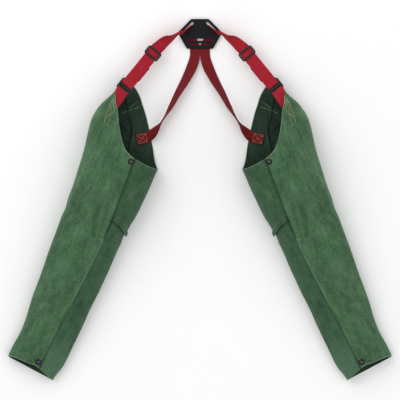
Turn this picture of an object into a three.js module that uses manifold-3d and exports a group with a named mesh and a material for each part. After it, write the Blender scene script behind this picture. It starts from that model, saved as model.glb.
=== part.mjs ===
// A pair of welding sleeves laid out flat on a bench: two split-leather arm tubes hung by webbing
// straps from a moulded back plate. Millimetres, +Z up. The origin is the bottom centre of the laid-out
// pair, +Y points to the back plate, and X = 0 is the plane that mirrors one sleeve onto the other.
import * as THREE from "three";
import { mergeVertices } from "three/addons/utils/BufferGeometryUtils.js";
import Module from "manifold-3d";

const wasm = await Module();
wasm.setup();

// ---- driving dimensions -------------------------------------------------------------------------
const gap = 0.3; // between pieces that touch
const leather = 1.6; // thickness of the split leather
const lap_gap = 0.9; // between the two leathers of a lapped seam
const web = { width: 25, lower_width: 21.5, thick: 1.2 }; // strap webbing, narrower below the plate

const sleeve = {
  length: 612,
  half_width: 79.5, // half across the upper arm
  height: 88, // of the upper arm as it lies
  tilt: THREE.MathUtils.degToRad(23), // how far each sleeve is turned out from the Y axis
  shoulder: { x: 99.9, y: 225.9 }, // the middle of the shoulder end, out from the plane of symmetry
  round_top: 2.1, // exponent of the upper half of the cross section, 2 is an ellipse
  round_bottom: 2.8, // the lower half lies flatter
  sink: 2.5, // how much of the round bottom is pressed flat by the bench
  lap: 12, // how far the underarm leather runs on under the outer panel
  jog: 2, // width of the step by which it goes under
  tuck: 6.6, // how far the forearm sits inside the upper arm at the elbow
  tuck_inside: 2, // the same on the side that faces the other sleeve
  flare: 3.2, // how far the underarm hem stands off the forearm
};
const elbow = 325; // height of the middle of the elbow in a sleeve of the drawn length
// Heights of the elbow's lap from the middle of the elbow.
const elbow_lap = {
  upper_end: -12, outer_top: 12, tuck_from: -41, tuck_to: -17, flare_from: 27, flare_to: 13,
};
// Profiles of a sleeve of the drawn size against s, the distance up it from the cuff. Each is [s, value].
const drawn = { length: 612, half_width: 79.5, height: 88 };
const along = (s) => (s * sleeve.length) / drawn.length;
const across = (v) => (v * sleeve.half_width) / drawn.half_width;
const up = (z) => (z * sleeve.height) / drawn.height;
const profile = (knots, size) => knots.map(([s, value]) => [along(s), (value * sleeve[size]) / drawn[size]]);
const inner_half = profile([[-5, 51], [30, 58.8], [70, 61.4], [150, 64.5], [200, 67.5], [290, 68.5],
  [330, 71.5], [365, 77], [466, 79.5], [612, 79.5]], "half_width");
const outer_half = profile([[-5, 50.5], [76, 48.8], [127, 52.7], [228, 58.9], [331, 63.2], [400, 68.7],
  [450, 75], [505, 83], [530, 80.5], [548, 75], [576, 62.5], [612, 61]], "half_width");
const full_height = profile([[-5, 30], [150, 50], [320, 72], [440, 88], [480, 85], [520, 73], [560, 57],
  [612, 42]], "height");
const widest_height = profile([[-5, 12], [150, 20], [320, 29], [440, 36], [480, 35], [520, 31], [560, 27],
  [612, 22]], "height");
const near_seam = profile([[-5, 16], [66, 18.8], [158, 24.5], [251, 32], [340, 32.5], [416, 29], [470, 26.5]],
  "half_width");
const far_seam = profile([[-5, 47], [160, 42], [330, 30], [440, 19], [490, 12], [522, 2], [550, -18],
  [612, -45]], "half_width");
// The armhole's edge against the angle round the sleeve: 0 faces the other sleeve, 90 is up.
const armhole = [[0, 466], [60, 466], [90, 481], [121, 541], [145, 564], [170, 581], [195, 606], [225, 607],
  [264, 581], [306, 511], [330, 476], [360, 466]].map(([angle, s]) => [angle, along(s)]);
const hem = { rise: 11, dip: 18, lap: 14 }; // the underarm hem's edge, lower in the middle, and its overlap
const cuff = { middle: -0.5, slant: 4.5, near_rise: 7 };

const rivet = { cap: 5.7, rise: 2.6, stem: 1.9, burr: 4.6, burr_thick: 0.8, hole_gap: 0.35, seat_gap: 0.7 };
const rivet_inset = { armhole: 7, cuff: 18, seam: 5.6 }; // from the edges and the seam to a rivet's middle

const plate = {
  thick: 3, half_top: 17.6, half_wide: 43.6, half_low: 41.2, half_bottom: 26.2,
  top: 362, wide: 335.6, low: 328.6, bottom: 302.2, edge: 0.6,
  slots: [{ y: 320.3, half: 29.3, high: 4.2 }, { y: 311.6, half: 23.8, high: 3.8 }],
  diagonal: { from: [14.8, 354], to: [37, 331.8], width: 4.8 },
};
const buckle = { rail: 3, half_wide: 10, bar: 2.2, proud: 0.3 }; // bar is the diameter of its bars
const buckle_half_long = web.width / 2 + gap + 0.2 + buckle.rail;
const slider_at = new THREE.Vector3(94.2, 292.6, 26);
const ring_at = placeSleeve({ x: sleeve.length - 21.4, y: across(-45.3), z: up(38) }, 1);
const loop_reach = 27; // how far the strap's turned end runs back from the ring
const swing_at = new THREE.Vector3(43.5, 330.6, 0); // the strap stands on edge here and bends
const swing_gap = 1.2;
const tab = { hidden_s: [565, 547, 528].map(along), hidden_angle: 128, inset: 6.5 };
const patch = { at: placeSleeve({ x: along(510.5), y: across(25.5), z: 0 }, 1), heading: -11, half: 11.4 };

// ---- small tools --------------------------------------------------------------------------------
const clamp01 = (t) => Math.min(1, Math.max(0, t));
const ease = (t) => clamp01(t) ** 2 * (3 - 2 * clamp01(t));
const lerp = (a, b, t) => a + (b - a) * t;

// A smooth curve through knots [x, y], which keeps to the trend of its neighbours.
function curve(knots, x) {
  const n = knots.length;
  if (x <= knots[0][0]) return knots[0][1];
  if (x >= knots[n - 1][0]) return knots[n - 1][1];
  const i = knots.findIndex((k) => k[0] > x) - 1;
  const slope = (k) => {
    if (k <= 0 || k >= n - 1) return 0;
    return (knots[k + 1][1] - knots[k - 1][1]) / (knots[k + 1][0] - knots[k - 1][0]);
  };
  const [x0, y0] = knots[i];
  const [x1, y1] = knots[i + 1];
  const h = x1 - x0;
  const t = (x - x0) / h;
  return (1 + 2 * t) * (1 - t) ** 2 * y0 + t * (1 - t) ** 2 * h * slope(i)
    + t * t * (3 - 2 * t) * y1 + t * t * (t - 1) * h * slope(i + 1);
}

// A closed solid between two grids of points, a on the outside and b on the inside.
function slab(a, b) {
  const rows = a.length;
  const cols = a[0].length;
  const position = [...a.flat(), ...b.flat()].flatMap((p) => [p.x, p.y, p.z]);
  const at = (k, i, j) => k * rows * cols + i * cols + j;
  const index = [];
  const quad = (p, q, r, s) => index.push(p, q, r, p, r, s);
  for (let i = 0; i + 1 < rows; i++) {
    for (let j = 0; j + 1 < cols; j++) {
      quad(at(0, i, j), at(0, i, j + 1), at(0, i + 1, j + 1), at(0, i + 1, j));
      quad(at(1, i, j), at(1, i + 1, j), at(1, i + 1, j + 1), at(1, i, j + 1));
    }
    quad(at(0, i, 0), at(0, i + 1, 0), at(1, i + 1, 0), at(1, i, 0));
    quad(at(0, i + 1, cols - 1), at(0, i, cols - 1), at(1, i, cols - 1), at(1, i + 1, cols - 1));
  }
  for (let j = 0; j + 1 < cols; j++) {
    quad(at(0, 0, j + 1), at(0, 0, j), at(1, 0, j), at(1, 0, j + 1));
    quad(at(0, rows - 1, j), at(0, rows - 1, j + 1), at(1, rows - 1, j + 1), at(1, rows - 1, j));
  }
  const made = new THREE.BufferGeometry();
  made.setAttribute("position", new THREE.BufferAttribute(new Float32Array(position), 3));
  made.setIndex(index);
  return facingOut(made);
}

function volumeOf(geometry) {
  const p = geometry.getAttribute("position");
  const index = geometry.index.array;
  const v = (i) => new THREE.Vector3().fromBufferAttribute(p, index[i]);
  let sum = 0;
  for (let i = 0; i < index.length; i += 3) sum += v(i).dot(v(i + 1).cross(v(i + 2)));
  return sum / 6;
}

function facingOut(geometry) {
  if (volumeOf(geometry) < 0) {
    const index = geometry.index.array;
    for (let i = 0; i < index.length; i += 3) [index[i + 1], index[i + 2]] = [index[i + 2], index[i + 1]];
  }
  return geometry;
}

// A geometry as a manifold solid, and back.
function solid(geometry) {
  const bare = new THREE.BufferGeometry();
  const flat = geometry.index ? geometry.toNonIndexed() : geometry;
  bare.setAttribute("position", flat.getAttribute("position"));
  const merged = facingOut(mergeVertices(bare, 1e-4));
  return new wasm.Manifold(new wasm.Mesh({
    numProp: 3,
    vertProperties: merged.getAttribute("position").array,
    triVerts: new Uint32Array(merged.index.array),
  }));
}

function geometryOf(made) {
  const mesh = made.getMesh();
  const geometry = new THREE.BufferGeometry();
  geometry.setAttribute("position", new THREE.BufferAttribute(new Float32Array(mesh.vertProperties), 3));
  geometry.setIndex(new THREE.BufferAttribute(new Uint32Array(mesh.triVerts), 1));
  return geometry;
}

const cut = (geometry, ...tools) =>
  geometryOf(tools.reduce((body, tool) => body.subtract(solid(tool)), solid(geometry)));
const join = (...pieces) => geometryOf(pieces.map(solid).reduce((a, b) => a.add(b)));

// ---- the sleeve's surface -----------------------------------------------------------------------
// s runs up the sleeve from the cuff, v runs across it towards the other sleeve, z is up.
const widthAt = (s, c) => curve(c >= 0 ? inner_half : outer_half, s);

function crossSection(s, q) {
  const c = Math.cos(q);
  const middle = curve(widest_height, s);
  const top = curve(full_height, s) - middle;
  const round = q <= Math.PI && q >= 0 ? sleeve.round_top : sleeve.round_bottom;
  const lift = Math.max(0, 1 - Math.abs(c) ** round) ** (1 / round);
  const z = q <= Math.PI && q >= 0 ? middle + top * lift : middle - (middle + sleeve.sink) * lift;
  return new THREE.Vector3(s, widthAt(s, c) * c, Math.max(0, z));
}

function normalAt(s, q) {
  const step = 1e-3;
  const along = crossSection(s + 1, q).sub(crossSection(s - 1, q));
  const round = crossSection(s, wrap(q + step)).sub(crossSection(s, wrap(q - step)));
  return round.cross(along).normalize();
}

const wrap = (q) => THREE.MathUtils.euclideanModulo(q, 2 * Math.PI);

// A point of the leather, off being how far outside the sleeve's own surface it lies.
function skinPoint(s, q, off) {
  const p = crossSection(s, wrap(q));
  p.addScaledVector(normalAt(s, wrap(q)), off);
  if (off >= 0) p.z = Math.max(0, p.z);
  return p;
}

const nearAngle = (s, v) => Math.acos(clamp01((v / widthAt(s, v) + 1) / 2) * 2 - 1);
const farAngle = (s, v) => -nearAngle(s, v);
const armholeAt = (q) => curve(armhole, THREE.MathUtils.radToDeg(wrap(q)));
const atElbow = (key) => along(elbow) + elbow_lap[key];
const hemAt = (q) => along(elbow) + hem.rise - hem.dip * Math.max(0, Math.cos(q)) ** 4;
const cuffAt = (q) => cuff.middle - cuff.slant * Math.cos(q) + cuff.near_rise * Math.max(0, Math.sin(q)) ** 3;
const innerShare = (q) => Math.max(0, Math.cos(q)) ** 4;
const tuckRise = (s) => ease((s - atElbow("tuck_from")) / (elbow_lap.tuck_to - elbow_lap.tuck_from));
const tuckAt = (s, q) => -tuckRise(s) * lerp(sleeve.tuck, sleeve.tuck_inside, innerShare(q));
const flareRise = (s) => ease((atElbow("flare_from") - s) / (elbow_lap.flare_from - elbow_lap.flare_to));
const flareAt = (s, q) => flareRise(s) * sleeve.flare * innerShare(q);
const flush = () => 0;

// A leather panel. columns are functions of s that give [angle, off]; stations(angle) lists the values of s.
function panel(columns, stations) {
  const outside = [];
  const inside = [];
  for (let i = 0; i < stations(0).length; i++) {
    outside.push([]);
    inside.push([]);
    for (const column of columns) {
      let s = stations(Math.PI / 2)[i];
      for (let turn = 0; turn < 8; turn++) s = stations(column(s)[0])[i];
      const [q, off] = column(s);
      outside[i].push(skinPoint(s, q, off));
      inside[i].push(skinPoint(s, q, off - leather));
    }
  }
  return slab(outside, inside);
}

const spread = (n, f) => Array.from({ length: n + 1 }, (_, k) => f(k / n));

// The outer panel runs from the near seam over the outside to the far seam.
function outerColumns(offset, n = 20) {
  return spread(n, (t) => (s) => {
    const from = nearAngle(s, curve(near_seam, s));
    const to = 2 * Math.PI + farAngle(s, curve(far_seam, s));
    const q = lerp(from, to, t);
    return [q, offset(s, q)];
  });
}

// The underarm runs from under the outer panel's far edge, round the inside, to under its near edge.
function underarmColumns(offset, n = 10) {
  const tucked = -(leather + lap_gap);
  const side = (angle, seam) => {
    const at = (extra) => (s) => angle(s, curve(seam, s) + extra);
    return { lap: at(-sleeve.lap), edge: at(gap + 0.05), step: at(gap + sleeve.jog) };
  };
  const near = side(nearAngle, near_seam);
  const far = side(farAngle, far_seam);
  const under = (angle) => (s) => [angle(s), tucked + Math.min(0, offset(s, angle(s)))];
  const open = (angle) => (s) => [angle(s), offset(s, angle(s))];
  return [
    under(far.lap), under(far.edge),
    ...spread(n, (t) => open((s) => lerp(far.step(s), near.step(s), t))),
    under(near.edge), under(near.lap),
  ];
}

// ---- placing ------------------------------------------------------------------------------------
// side is -1 for the sleeve on the -X side and 1 for the other.
function placeSleeve(p, side) {
  const down = sleeve.length - p.x;
  const x = sleeve.shoulder.x + Math.sin(sleeve.tilt) * down - Math.cos(sleeve.tilt) * p.y;
  const y = sleeve.shoulder.y - Math.cos(sleeve.tilt) * down - Math.sin(sleeve.tilt) * p.y;
  return new THREE.Vector3(side * x, y, p.z);
}

function mapped(geometry, place) {
  const p = geometry.getAttribute("position");
  for (let i = 0; i < p.count; i++) {
    const to = place(new THREE.Vector3().fromBufferAttribute(p, i));
    p.setXYZ(i, to.x, to.y, to.z);
  }
  return facingOut(geometry);
}

// ---- webbing ------------------------------------------------------------------------------------
// A strap along frames {at, across, width}: flat webbing of one thickness.
function strip(frames, width = web.width) {
  const last = frames.length - 1;
  const top = [];
  const bottom = [];
  frames.forEach((frame, i) => {
    const along = frames[Math.min(last, i + 1)].at.clone().sub(frames[Math.max(0, i - 1)].at);
    const normal = along.cross(frame.across).normalize();
    const edge = (side, face) => frame.at.clone()
      .addScaledVector(frame.across, side * (frame.width ?? width) / 2)
      .addScaledVector(normal, face * web.thick / 2);
    top.push([edge(-1, 1), edge(1, 1)]);
    bottom.push([edge(-1, -1), edge(1, -1)]);
  });
  return slab(top, bottom);
}

const vec = (x, y, z) => new THREE.Vector3(x, y, z);

// A frame whose width lies level along heading, in degrees from +X, and then leans up by lean degrees.
function leaning(x, y, z, heading, lean) {
  const level = THREE.MathUtils.degToRad(heading);
  const up = THREE.MathUtils.degToRad(lean);
  const across = vec(Math.cos(level) * Math.cos(up), Math.sin(level) * Math.cos(up), Math.sin(up));
  return { at: vec(x, y, z), across };
}

const behind_plate = web.thick / 2; // middle of the webbing that lies behind the plate
const plate_under = web.thick + gap;
const plate_top = plate_under + plate.thick;
const standing_z = plate_top + 2 * gap + web.width / 2;
const slot_from = vec(...plate.diagonal.from, 0);
const slot_to = vec(...plate.diagonal.to, 0);
const slot_along = slot_from.clone().sub(slot_to).normalize();
const slot_heading = THREE.MathUtils.radToDeg(Math.atan2(slot_along.y, slot_along.x));

const swing_out = vec(0.86, -0.5, 0).normalize(); // the way the standing strap runs
const onEdge = (past) => (
  { at: swing_at.clone().addScaledVector(swing_out, past).setZ(standing_z), across: vec(0, 0, 1) });

// The webbing behind the plate, up through the diagonal slot and on edge to where the strap bends.
function yokeStrap() {
  const webbing_end = slot_to.clone().addScaledVector(slot_along, plate.diagonal.width / 4);
  const in_slot = webbing_end.clone().addScaledVector(slot_along, web.width / 2);
  const slot_out = vec(slot_along.y, -slot_along.x, 0);
  const behind = (x, y, heading) => ({ ...leaning(x, y, behind_plate, heading, 0), width: web.lower_width });
  const through = (out, z) => (
    { at: in_slot.clone().addScaledVector(slot_out, out).setZ(z), across: slot_along });
  const frames = [
    behind(web.lower_width / 2 + gap, plate.bottom - 2, 180),
    behind(web.lower_width / 2 + 1.2, plate.bottom + 6, 168),
    behind(web.lower_width / 2 + 5.2, plate.bottom + 18, 156),
    behind(in_slot.x - 7, in_slot.y - 8, slot_heading + 5),
    through(-1, behind_plate), through(-0.3, plate_under), through(0, plate_top + gap),
  ];
  for (const turn of [25, 50, 72]) {
    const frame = leaning(0, 0, 0, slot_heading, turn);
    const foot = webbing_end.clone().lerp(swing_at, turn / 90).setZ(plate_top + 2 * gap);
    frames.push({ at: foot.addScaledVector(frame.across, web.width / 2), across: frame.across });
  }
  frames.push(onEdge(-swing_gap));
  return strip(frames);
}
// The strap's own directions between slider and ring: along it, across it and out of its face.
const strap_along = ring_at.clone().sub(slider_at).normalize();
const strap_across = vec(-strap_along.y, strap_along.x, 0).normalize();
const strap_out = strap_along.clone().cross(strap_across).normalize();
const strap_length = slider_at.distanceTo(ring_at);

// A point in the strap's own directions.
const fromStrap = (origin, along, across, out) => origin.clone()
  .addScaledVector(strap_along, along).addScaledVector(strap_across, across).addScaledVector(strap_out, out);
const strapFrame = (origin, along, out) => ({ at: fromStrap(origin, along, 0, out), across: strap_across });

// The strap from where it bends beside the plate, turning flat, through the slider and on to the ring.
function upperStrap() {
  return strip([
    onEdge(swing_gap),
    leaning(52, 327.4, standing_z, 27, 68), leaning(60.6, 323.6, standing_z + 0.4, 33, 47),
    leaning(72.9, 314.7, standing_z + 1.6, 46, 30), leaning(80.6, 307.4, standing_z + 3, 45, 17),
    strapFrame(slider_at, -buckle.half_wide - 2, 0),
    strapFrame(slider_at, strap_length - loop_reach - gap, 0),
  ]);
}

// The strap's end, over the ring's upper bar and back under itself.
const bar_clear = buckle.bar / 2 + gap + web.thick / 2; // from a bar's middle to the webbing round it
const ring_bar = buckle.half_wide - buckle.bar / 2; // from the ring's middle to an end bar's
const loop_turn = buckle.bar / 2 + 3 * gap + web.thick / 2; // the same at the side of the bar
function loopRound(origin, toward, reach) {
  const turned_in = (along, out) => strapFrame(origin, toward * along, out);
  return strip([
    turned_in(-reach, bar_clear), turned_in(buckle.bar / 2, bar_clear),
    turned_in(loop_turn, bar_clear / 2), turned_in(loop_turn, -bar_clear / 2),
    turned_in(buckle.bar / 2, -bar_clear), turned_in(-reach, -bar_clear),
  ]);
}
const upper_bar_at = fromStrap(ring_at, -ring_bar, 0, -bar_clear);
const lower_bar_at = fromStrap(ring_at, ring_bar, 0, -bar_clear);
const loopStrap = () => loopRound(upper_bar_at, 1, loop_reach - ring_bar);

// The second layer of the strap, from the ring's loop back to the slider's middle bar.
function underLayer() {
  return strip([
    strapFrame(slider_at, -buckle.bar / 2 - 1, -2 * bar_clear),
    strapFrame(slider_at, strap_length - loop_reach - gap, -2 * bar_clear),
  ]);
}

// The tab that holds the ring, sewn inside the shoulder.
function anchorTab() {
  const hidden = tab.hidden_s.map((s) => {
    const angle = THREE.MathUtils.degToRad(tab.hidden_angle);
    const place = (turn) => placeSleeve(skinPoint(s, angle + turn, -tab.inset), 1);
    const across = place(0.1).sub(place(-0.1)).normalize();
    return { at: place(0), across };
  });
  const round = (along, out) => strapFrame(lower_bar_at, -along, out);
  return strip([
    round(-buckle.bar, -bar_clear), round(buckle.bar / 2, -bar_clear),
    round(loop_turn, -bar_clear / 2), round(loop_turn, bar_clear / 2),
    round(buckle.bar / 2, bar_clear), round(-buckle.bar, bar_clear), ...hidden,
  ]);
}

const patch_z = leather + 5 * gap + web.thick / 2;

function onPatch(reach) {
  const heading = THREE.MathUtils.degToRad(patch.heading);
  const x = patch.at.x + reach * Math.cos(heading);
  const y = patch.at.y + reach * Math.sin(heading);
  return leaning(x, y, patch_z, patch.heading - 90, 0);
}

// The strap below the plate: down and out, on edge, then flat on the inside of the far wall.
function lowerStrap() {
  const floor = behind_plate;
  const frames = [
    leaning(web.lower_width / 2 + gap, plate.bottom - 2 - 2 * gap, floor, 180, 0),
    leaning(11.2, 283.3, floor + 1.5, 188, 6), leaning(14.8, 270.1, floor + 3, 196, 14),
    leaning(27.7, 242.1, floor + 7, 203, 34), leaning(46.4, 209.5, floor + 10, 206, 54),
    leaning(58, 187.2, floor + 11, 207, 63), leaning(79.4, 152.4, floor + 12, 215, 78),
    leaning(90, 137.5, floor + 9, 240, 42), leaning(98, 129.6, floor + 5.4, 254, 14),
    onPatch(-patch.half), onPatch(patch.half),
  ];
  return strip(frames, web.lower_width);
}
// ---- buckles ------------------------------------------------------------------------------------
// A frame of two rails, a little proud of three bars; middle_out and end_out say how high the bars lie.
// It is built along X, across Y and out Z, and then turned into the strap's own directions.
function threeBar(origin, end_out, middle_out) {
  const top = Math.max(end_out, middle_out) + buckle.bar / 2 + buckle.proud;
  const bottom = Math.min(end_out, middle_out) - buckle.bar / 2 - buckle.proud;
  const rail_at = buckle_half_long - buckle.rail / 2;
  const rails = [-1, 1].map((side) => new THREE.BoxGeometry(2 * buckle.half_wide, buckle.rail, top - bottom)
    .translate(0, side * rail_at, (top + bottom) / 2));
  const thick = buckle.bar / 2;
  const bars = [[-ring_bar, end_out], [0, middle_out], [ring_bar, end_out]].map(([x, out]) =>
    new THREE.CylinderGeometry(thick, thick, 2 * rail_at, 12).translate(x, 0, out));
  const basis = new THREE.Matrix4().makeBasis(strap_along, strap_across, strap_out).setPosition(origin);
  return join(...rails, ...bars).applyMatrix4(basis);
}

const slider = () => threeBar(slider_at, bar_clear, -bar_clear);
const ring = () => threeBar(fromStrap(ring_at, 0, 0, -bar_clear), 0, 0);

// ---- back plate ---------------------------------------------------------------------------------
function backPlate() {
  const half = [[plate.half_top, plate.top], [plate.half_wide, plate.wide],
    [plate.half_low, plate.low], [plate.half_bottom, plate.bottom]];
  const outline = new THREE.Shape([...half, ...half.map(([x, y]) => [-x, y]).reverse()]
    .map(([x, y]) => new THREE.Vector2(x, y)));
  const body = new THREE.ExtrudeGeometry(outline, {
    depth: plate.thick - 2 * plate.edge, bevelThickness: plate.edge, bevelSize: plate.edge,
    bevelOffset: -plate.edge, bevelSegments: 1,
  });
  body.translate(0, 0, plate_under + plate.edge);
  const slots = plate.slots.map(({ y, half: reach, high }) => slotTool([-reach, y], [reach, y], high));
  const { from, to, width } = plate.diagonal;
  const diagonals = [-1, 1].map((side) => slotTool([side * from[0], from[1]], [side * to[0], to[1]], width));
  return cut(body, ...slots, ...diagonals);
}

// A round-ended block that cuts one slot between the middles of its ends.
function slotTool(from, to, width) {
  const a = new THREE.Vector2(...from);
  const b = new THREE.Vector2(...to);
  const angle = b.clone().sub(a).angle();
  const length = a.distanceTo(b);
  const outline = new THREE.Shape();
  outline.absarc(length, 0, width / 2, -Math.PI / 2, Math.PI / 2, false);
  outline.absarc(0, 0, width / 2, Math.PI / 2, 1.5 * Math.PI, false);
  const shape = { depth: 3 * plate.thick, bevelEnabled: false, curveSegments: 4 };
  return new THREE.ExtrudeGeometry(outline, shape).rotateZ(angle).translate(a.x, a.y, 0);
}

// ---- rivets -------------------------------------------------------------------------------------
// Turns a lathe form, whose axis is Y, to stand on the leather at one place, its foot off from the surface.
function onLeather(geometry, { s, v }, off) {
  const angle = nearAngle(s, v);
  const up = normalAt(s, angle);
  const turn = new THREE.Quaternion().setFromUnitVectors(vec(0, 1, 0), up);
  return geometry.applyQuaternion(turn).translate(...skinPoint(s, angle, 0).addScaledVector(up, off));
}

const turned = (profile) => new THREE.LatheGeometry(profile.map(([r, y]) => new THREE.Vector2(r, y)), 16);
const rivet_depth = 2 * leather + lap_gap + 2 * rivet.seat_gap;

const besideSeam = (s) => ({ s, v: curve(near_seam, s) - rivet_inset.seam });

function rivetCap(place) {
  const edge = rivet.cap;
  const stem_end = -(rivet_depth + rivet.burr_thick + gap);
  const stem = [[0, stem_end], [rivet.stem, stem_end], [rivet.stem, 0]];
  const dome = [[edge * 0.92, 0], [edge, 0.5], [edge * 0.9, rivet.rise * 0.55],
    [edge * 0.6, rivet.rise * 0.88], [0, rivet.rise]];
  return onLeather(turned([...stem, ...dome]), place, rivet.seat_gap);
}

function rivetBurr(place) {
  const hole = rivet.stem + rivet.hole_gap;
  const low = -rivet.burr_thick;
  const washer = [[hole, low], [rivet.burr, low], [rivet.burr, 0], [hole, 0], [hole, low]];
  return onLeather(turned(washer), place, rivet.seat_gap - rivet_depth);
}

function rivetHole(place) {
  const radius = rivet.stem + rivet.hole_gap;
  return onLeather(turned([[0, -9], [radius, -9], [radius, 9], [0, 9]]), place, 0);
}

// ---- the sleeve's panels ------------------------------------------------------------------------
const between = (low, high, n) => spread(n, (t) => lerp(low, high, t));
const forearmStations = (q) => [cuffAt(q), ...between(along(30), atElbow("tuck_from"), 6),
  ...between(atElbow("tuck_from"), atElbow("tuck_to"), 4).slice(1)];
const upperStations = (low, q) => [...between(low, atElbow("flare_to"), 2),
  ...between(atElbow("flare_from"), armholeAt(q), 11)];
const outerPanel = () => panel(outerColumns(flush), (q) => upperStations(atElbow("upper_end"), q));
const outerForearm = () => panel(outerColumns(tuckAt), (q) => [...forearmStations(q), atElbow("outer_top")]);
const upperUnderarm = () => panel(underarmColumns(flareAt), (q) => upperStations(hemAt(q), q));
const lowerStations = (q) => [...forearmStations(q), hemAt(q) + hem.lap];
const lowerUnderarm = () => panel(underarmColumns(tuckAt), lowerStations);

// ---- assembly -----------------------------------------------------------------------------------
const finish = (color, roughness, metalness = 0) =>
  new THREE.MeshStandardMaterial({ color, roughness, metalness });
const looks = {
  leather: () => finish("#3f6b49", 0.95),
  underarm: () => finish("#37604a", 0.95),
  webbing: () => finish("#a3222d", 0.8),
  lower_webbing: () => finish("#73232a", 0.85),
  plastic: () => finish("#1c1c20", 0.45),
  rivet: () => finish("#26262b", 0.3, 0.7),
};

const object = new THREE.Group();
object.name = "welding_sleeves";
function add(name, geometry, look) {
  const mesh = new THREE.Mesh(geometry, look());
  mesh.name = name;
  object.add(mesh);
}

add("back_plate", backPlate(), looks.plastic);
for (const [word, side] of [["left", -1], ["right", 1]]) {
  const mirrored = (geometry) => mapped(geometry, (p) => p.setX(side * p.x));
  const onSleeve = (geometry) => mapped(geometry, (p) => placeSleeve(p, side));
  const strap = (name, geometry, look) => add(`${word}_${name}`, mirrored(geometry), look);
  strap("yoke_strap", yokeStrap(), looks.lower_webbing);
  strap("upper_strap", upperStrap(), looks.webbing);
  strap("strap_end_loop", loopStrap(), looks.webbing);
  strap("strap_under_layer", underLayer(), looks.webbing);
  strap("anchor_tab", anchorTab(), looks.webbing);
  strap("lower_strap", lowerStrap(), looks.lower_webbing);
  strap("slider", slider(), looks.plastic);
  strap("ring", ring(), looks.plastic);

  const rivet_places = {
    armhole: besideSeam(armholeAt(Math.PI / 3) - rivet_inset.armhole),
    cuff: besideSeam(rivet_inset.cuff),
  };
  const { armhole: top, cuff: low } = rivet_places;
  const leatherPiece = (name, geometry, look) => add(`${word}_${name}`, onSleeve(geometry), look);
  leatherPiece("outer_panel", cut(outerPanel(), rivetHole(top)), looks.leather);
  leatherPiece("outer_panel_forearm", cut(outerForearm(), rivetHole(low)), looks.leather);
  leatherPiece("upper_underarm", cut(upperUnderarm(), rivetHole(top)), looks.leather);
  leatherPiece("lower_underarm", cut(lowerUnderarm(), rivetHole(low)), looks.underarm);
  for (const [where, place] of Object.entries(rivet_places)) {
    leatherPiece(`${where}_rivet`, rivetCap(place), looks.rivet);
    leatherPiece(`${where}_rivet_burr`, rivetBurr(place), looks.rivet);
  }
}

export default object;
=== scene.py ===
"""Looks of a pair of welding sleeves, hung by webbing straps from a moulded back plate.

Sizes are millimetres in the classes and become metres where a mesh is made. In a sleeve s runs up
from the cuff, v runs across towards the other sleeve, and q is the angle round the sleeve: 0 faces
the other sleeve, 90 degrees is up. Each side is worked out on +X and mirrored for the left.
"""
import logging
import math
from dataclasses import dataclass, field
from enum import Enum
from typing import Callable, Sequence

import bmesh
import bpy
import numpy as np
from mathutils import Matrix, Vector

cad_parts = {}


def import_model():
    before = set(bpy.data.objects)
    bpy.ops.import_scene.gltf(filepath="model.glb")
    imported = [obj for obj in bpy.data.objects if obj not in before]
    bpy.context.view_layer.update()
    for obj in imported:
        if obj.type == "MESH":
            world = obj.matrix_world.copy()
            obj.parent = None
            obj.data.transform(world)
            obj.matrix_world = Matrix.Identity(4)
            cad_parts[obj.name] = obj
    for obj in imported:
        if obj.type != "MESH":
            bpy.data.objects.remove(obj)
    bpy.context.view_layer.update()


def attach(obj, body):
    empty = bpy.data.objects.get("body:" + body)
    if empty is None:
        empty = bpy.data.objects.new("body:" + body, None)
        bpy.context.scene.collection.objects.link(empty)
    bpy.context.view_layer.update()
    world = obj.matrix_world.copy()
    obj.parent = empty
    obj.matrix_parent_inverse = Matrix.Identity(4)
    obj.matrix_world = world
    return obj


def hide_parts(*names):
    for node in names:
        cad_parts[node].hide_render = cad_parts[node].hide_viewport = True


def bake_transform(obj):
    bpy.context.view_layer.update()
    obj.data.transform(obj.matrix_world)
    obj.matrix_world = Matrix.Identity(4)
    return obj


Array = np.ndarray
Colour = tuple[float, float, float]
Course = tuple[tuple[float, ...], ...]
Line = tuple[tuple[float, float], ...]
MM = 0.001
LEATHER = 1.6
GAP = 0.3
WEB_WIDTH = 25.0
LOWER_WEB_WIDTH = 21.5
WEB_THICK = 1.2
ASKEW = (0.6, 0.8, 0.4)
log = logging.getLogger("sleeves")


class Side(Enum):
    """Which sleeve of the pair a piece belongs to; the value multiplies X."""

    LEFT = -1
    RIGHT = 1

    @property
    def word(self) -> str:
        """The side's name as the record writes it."""
        return self.name.lower()


class Face(Enum):
    """The faces of a leather panel and the material index that each one takes."""

    GRAIN = 0
    FLESH = 1
    CUT = 2


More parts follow.
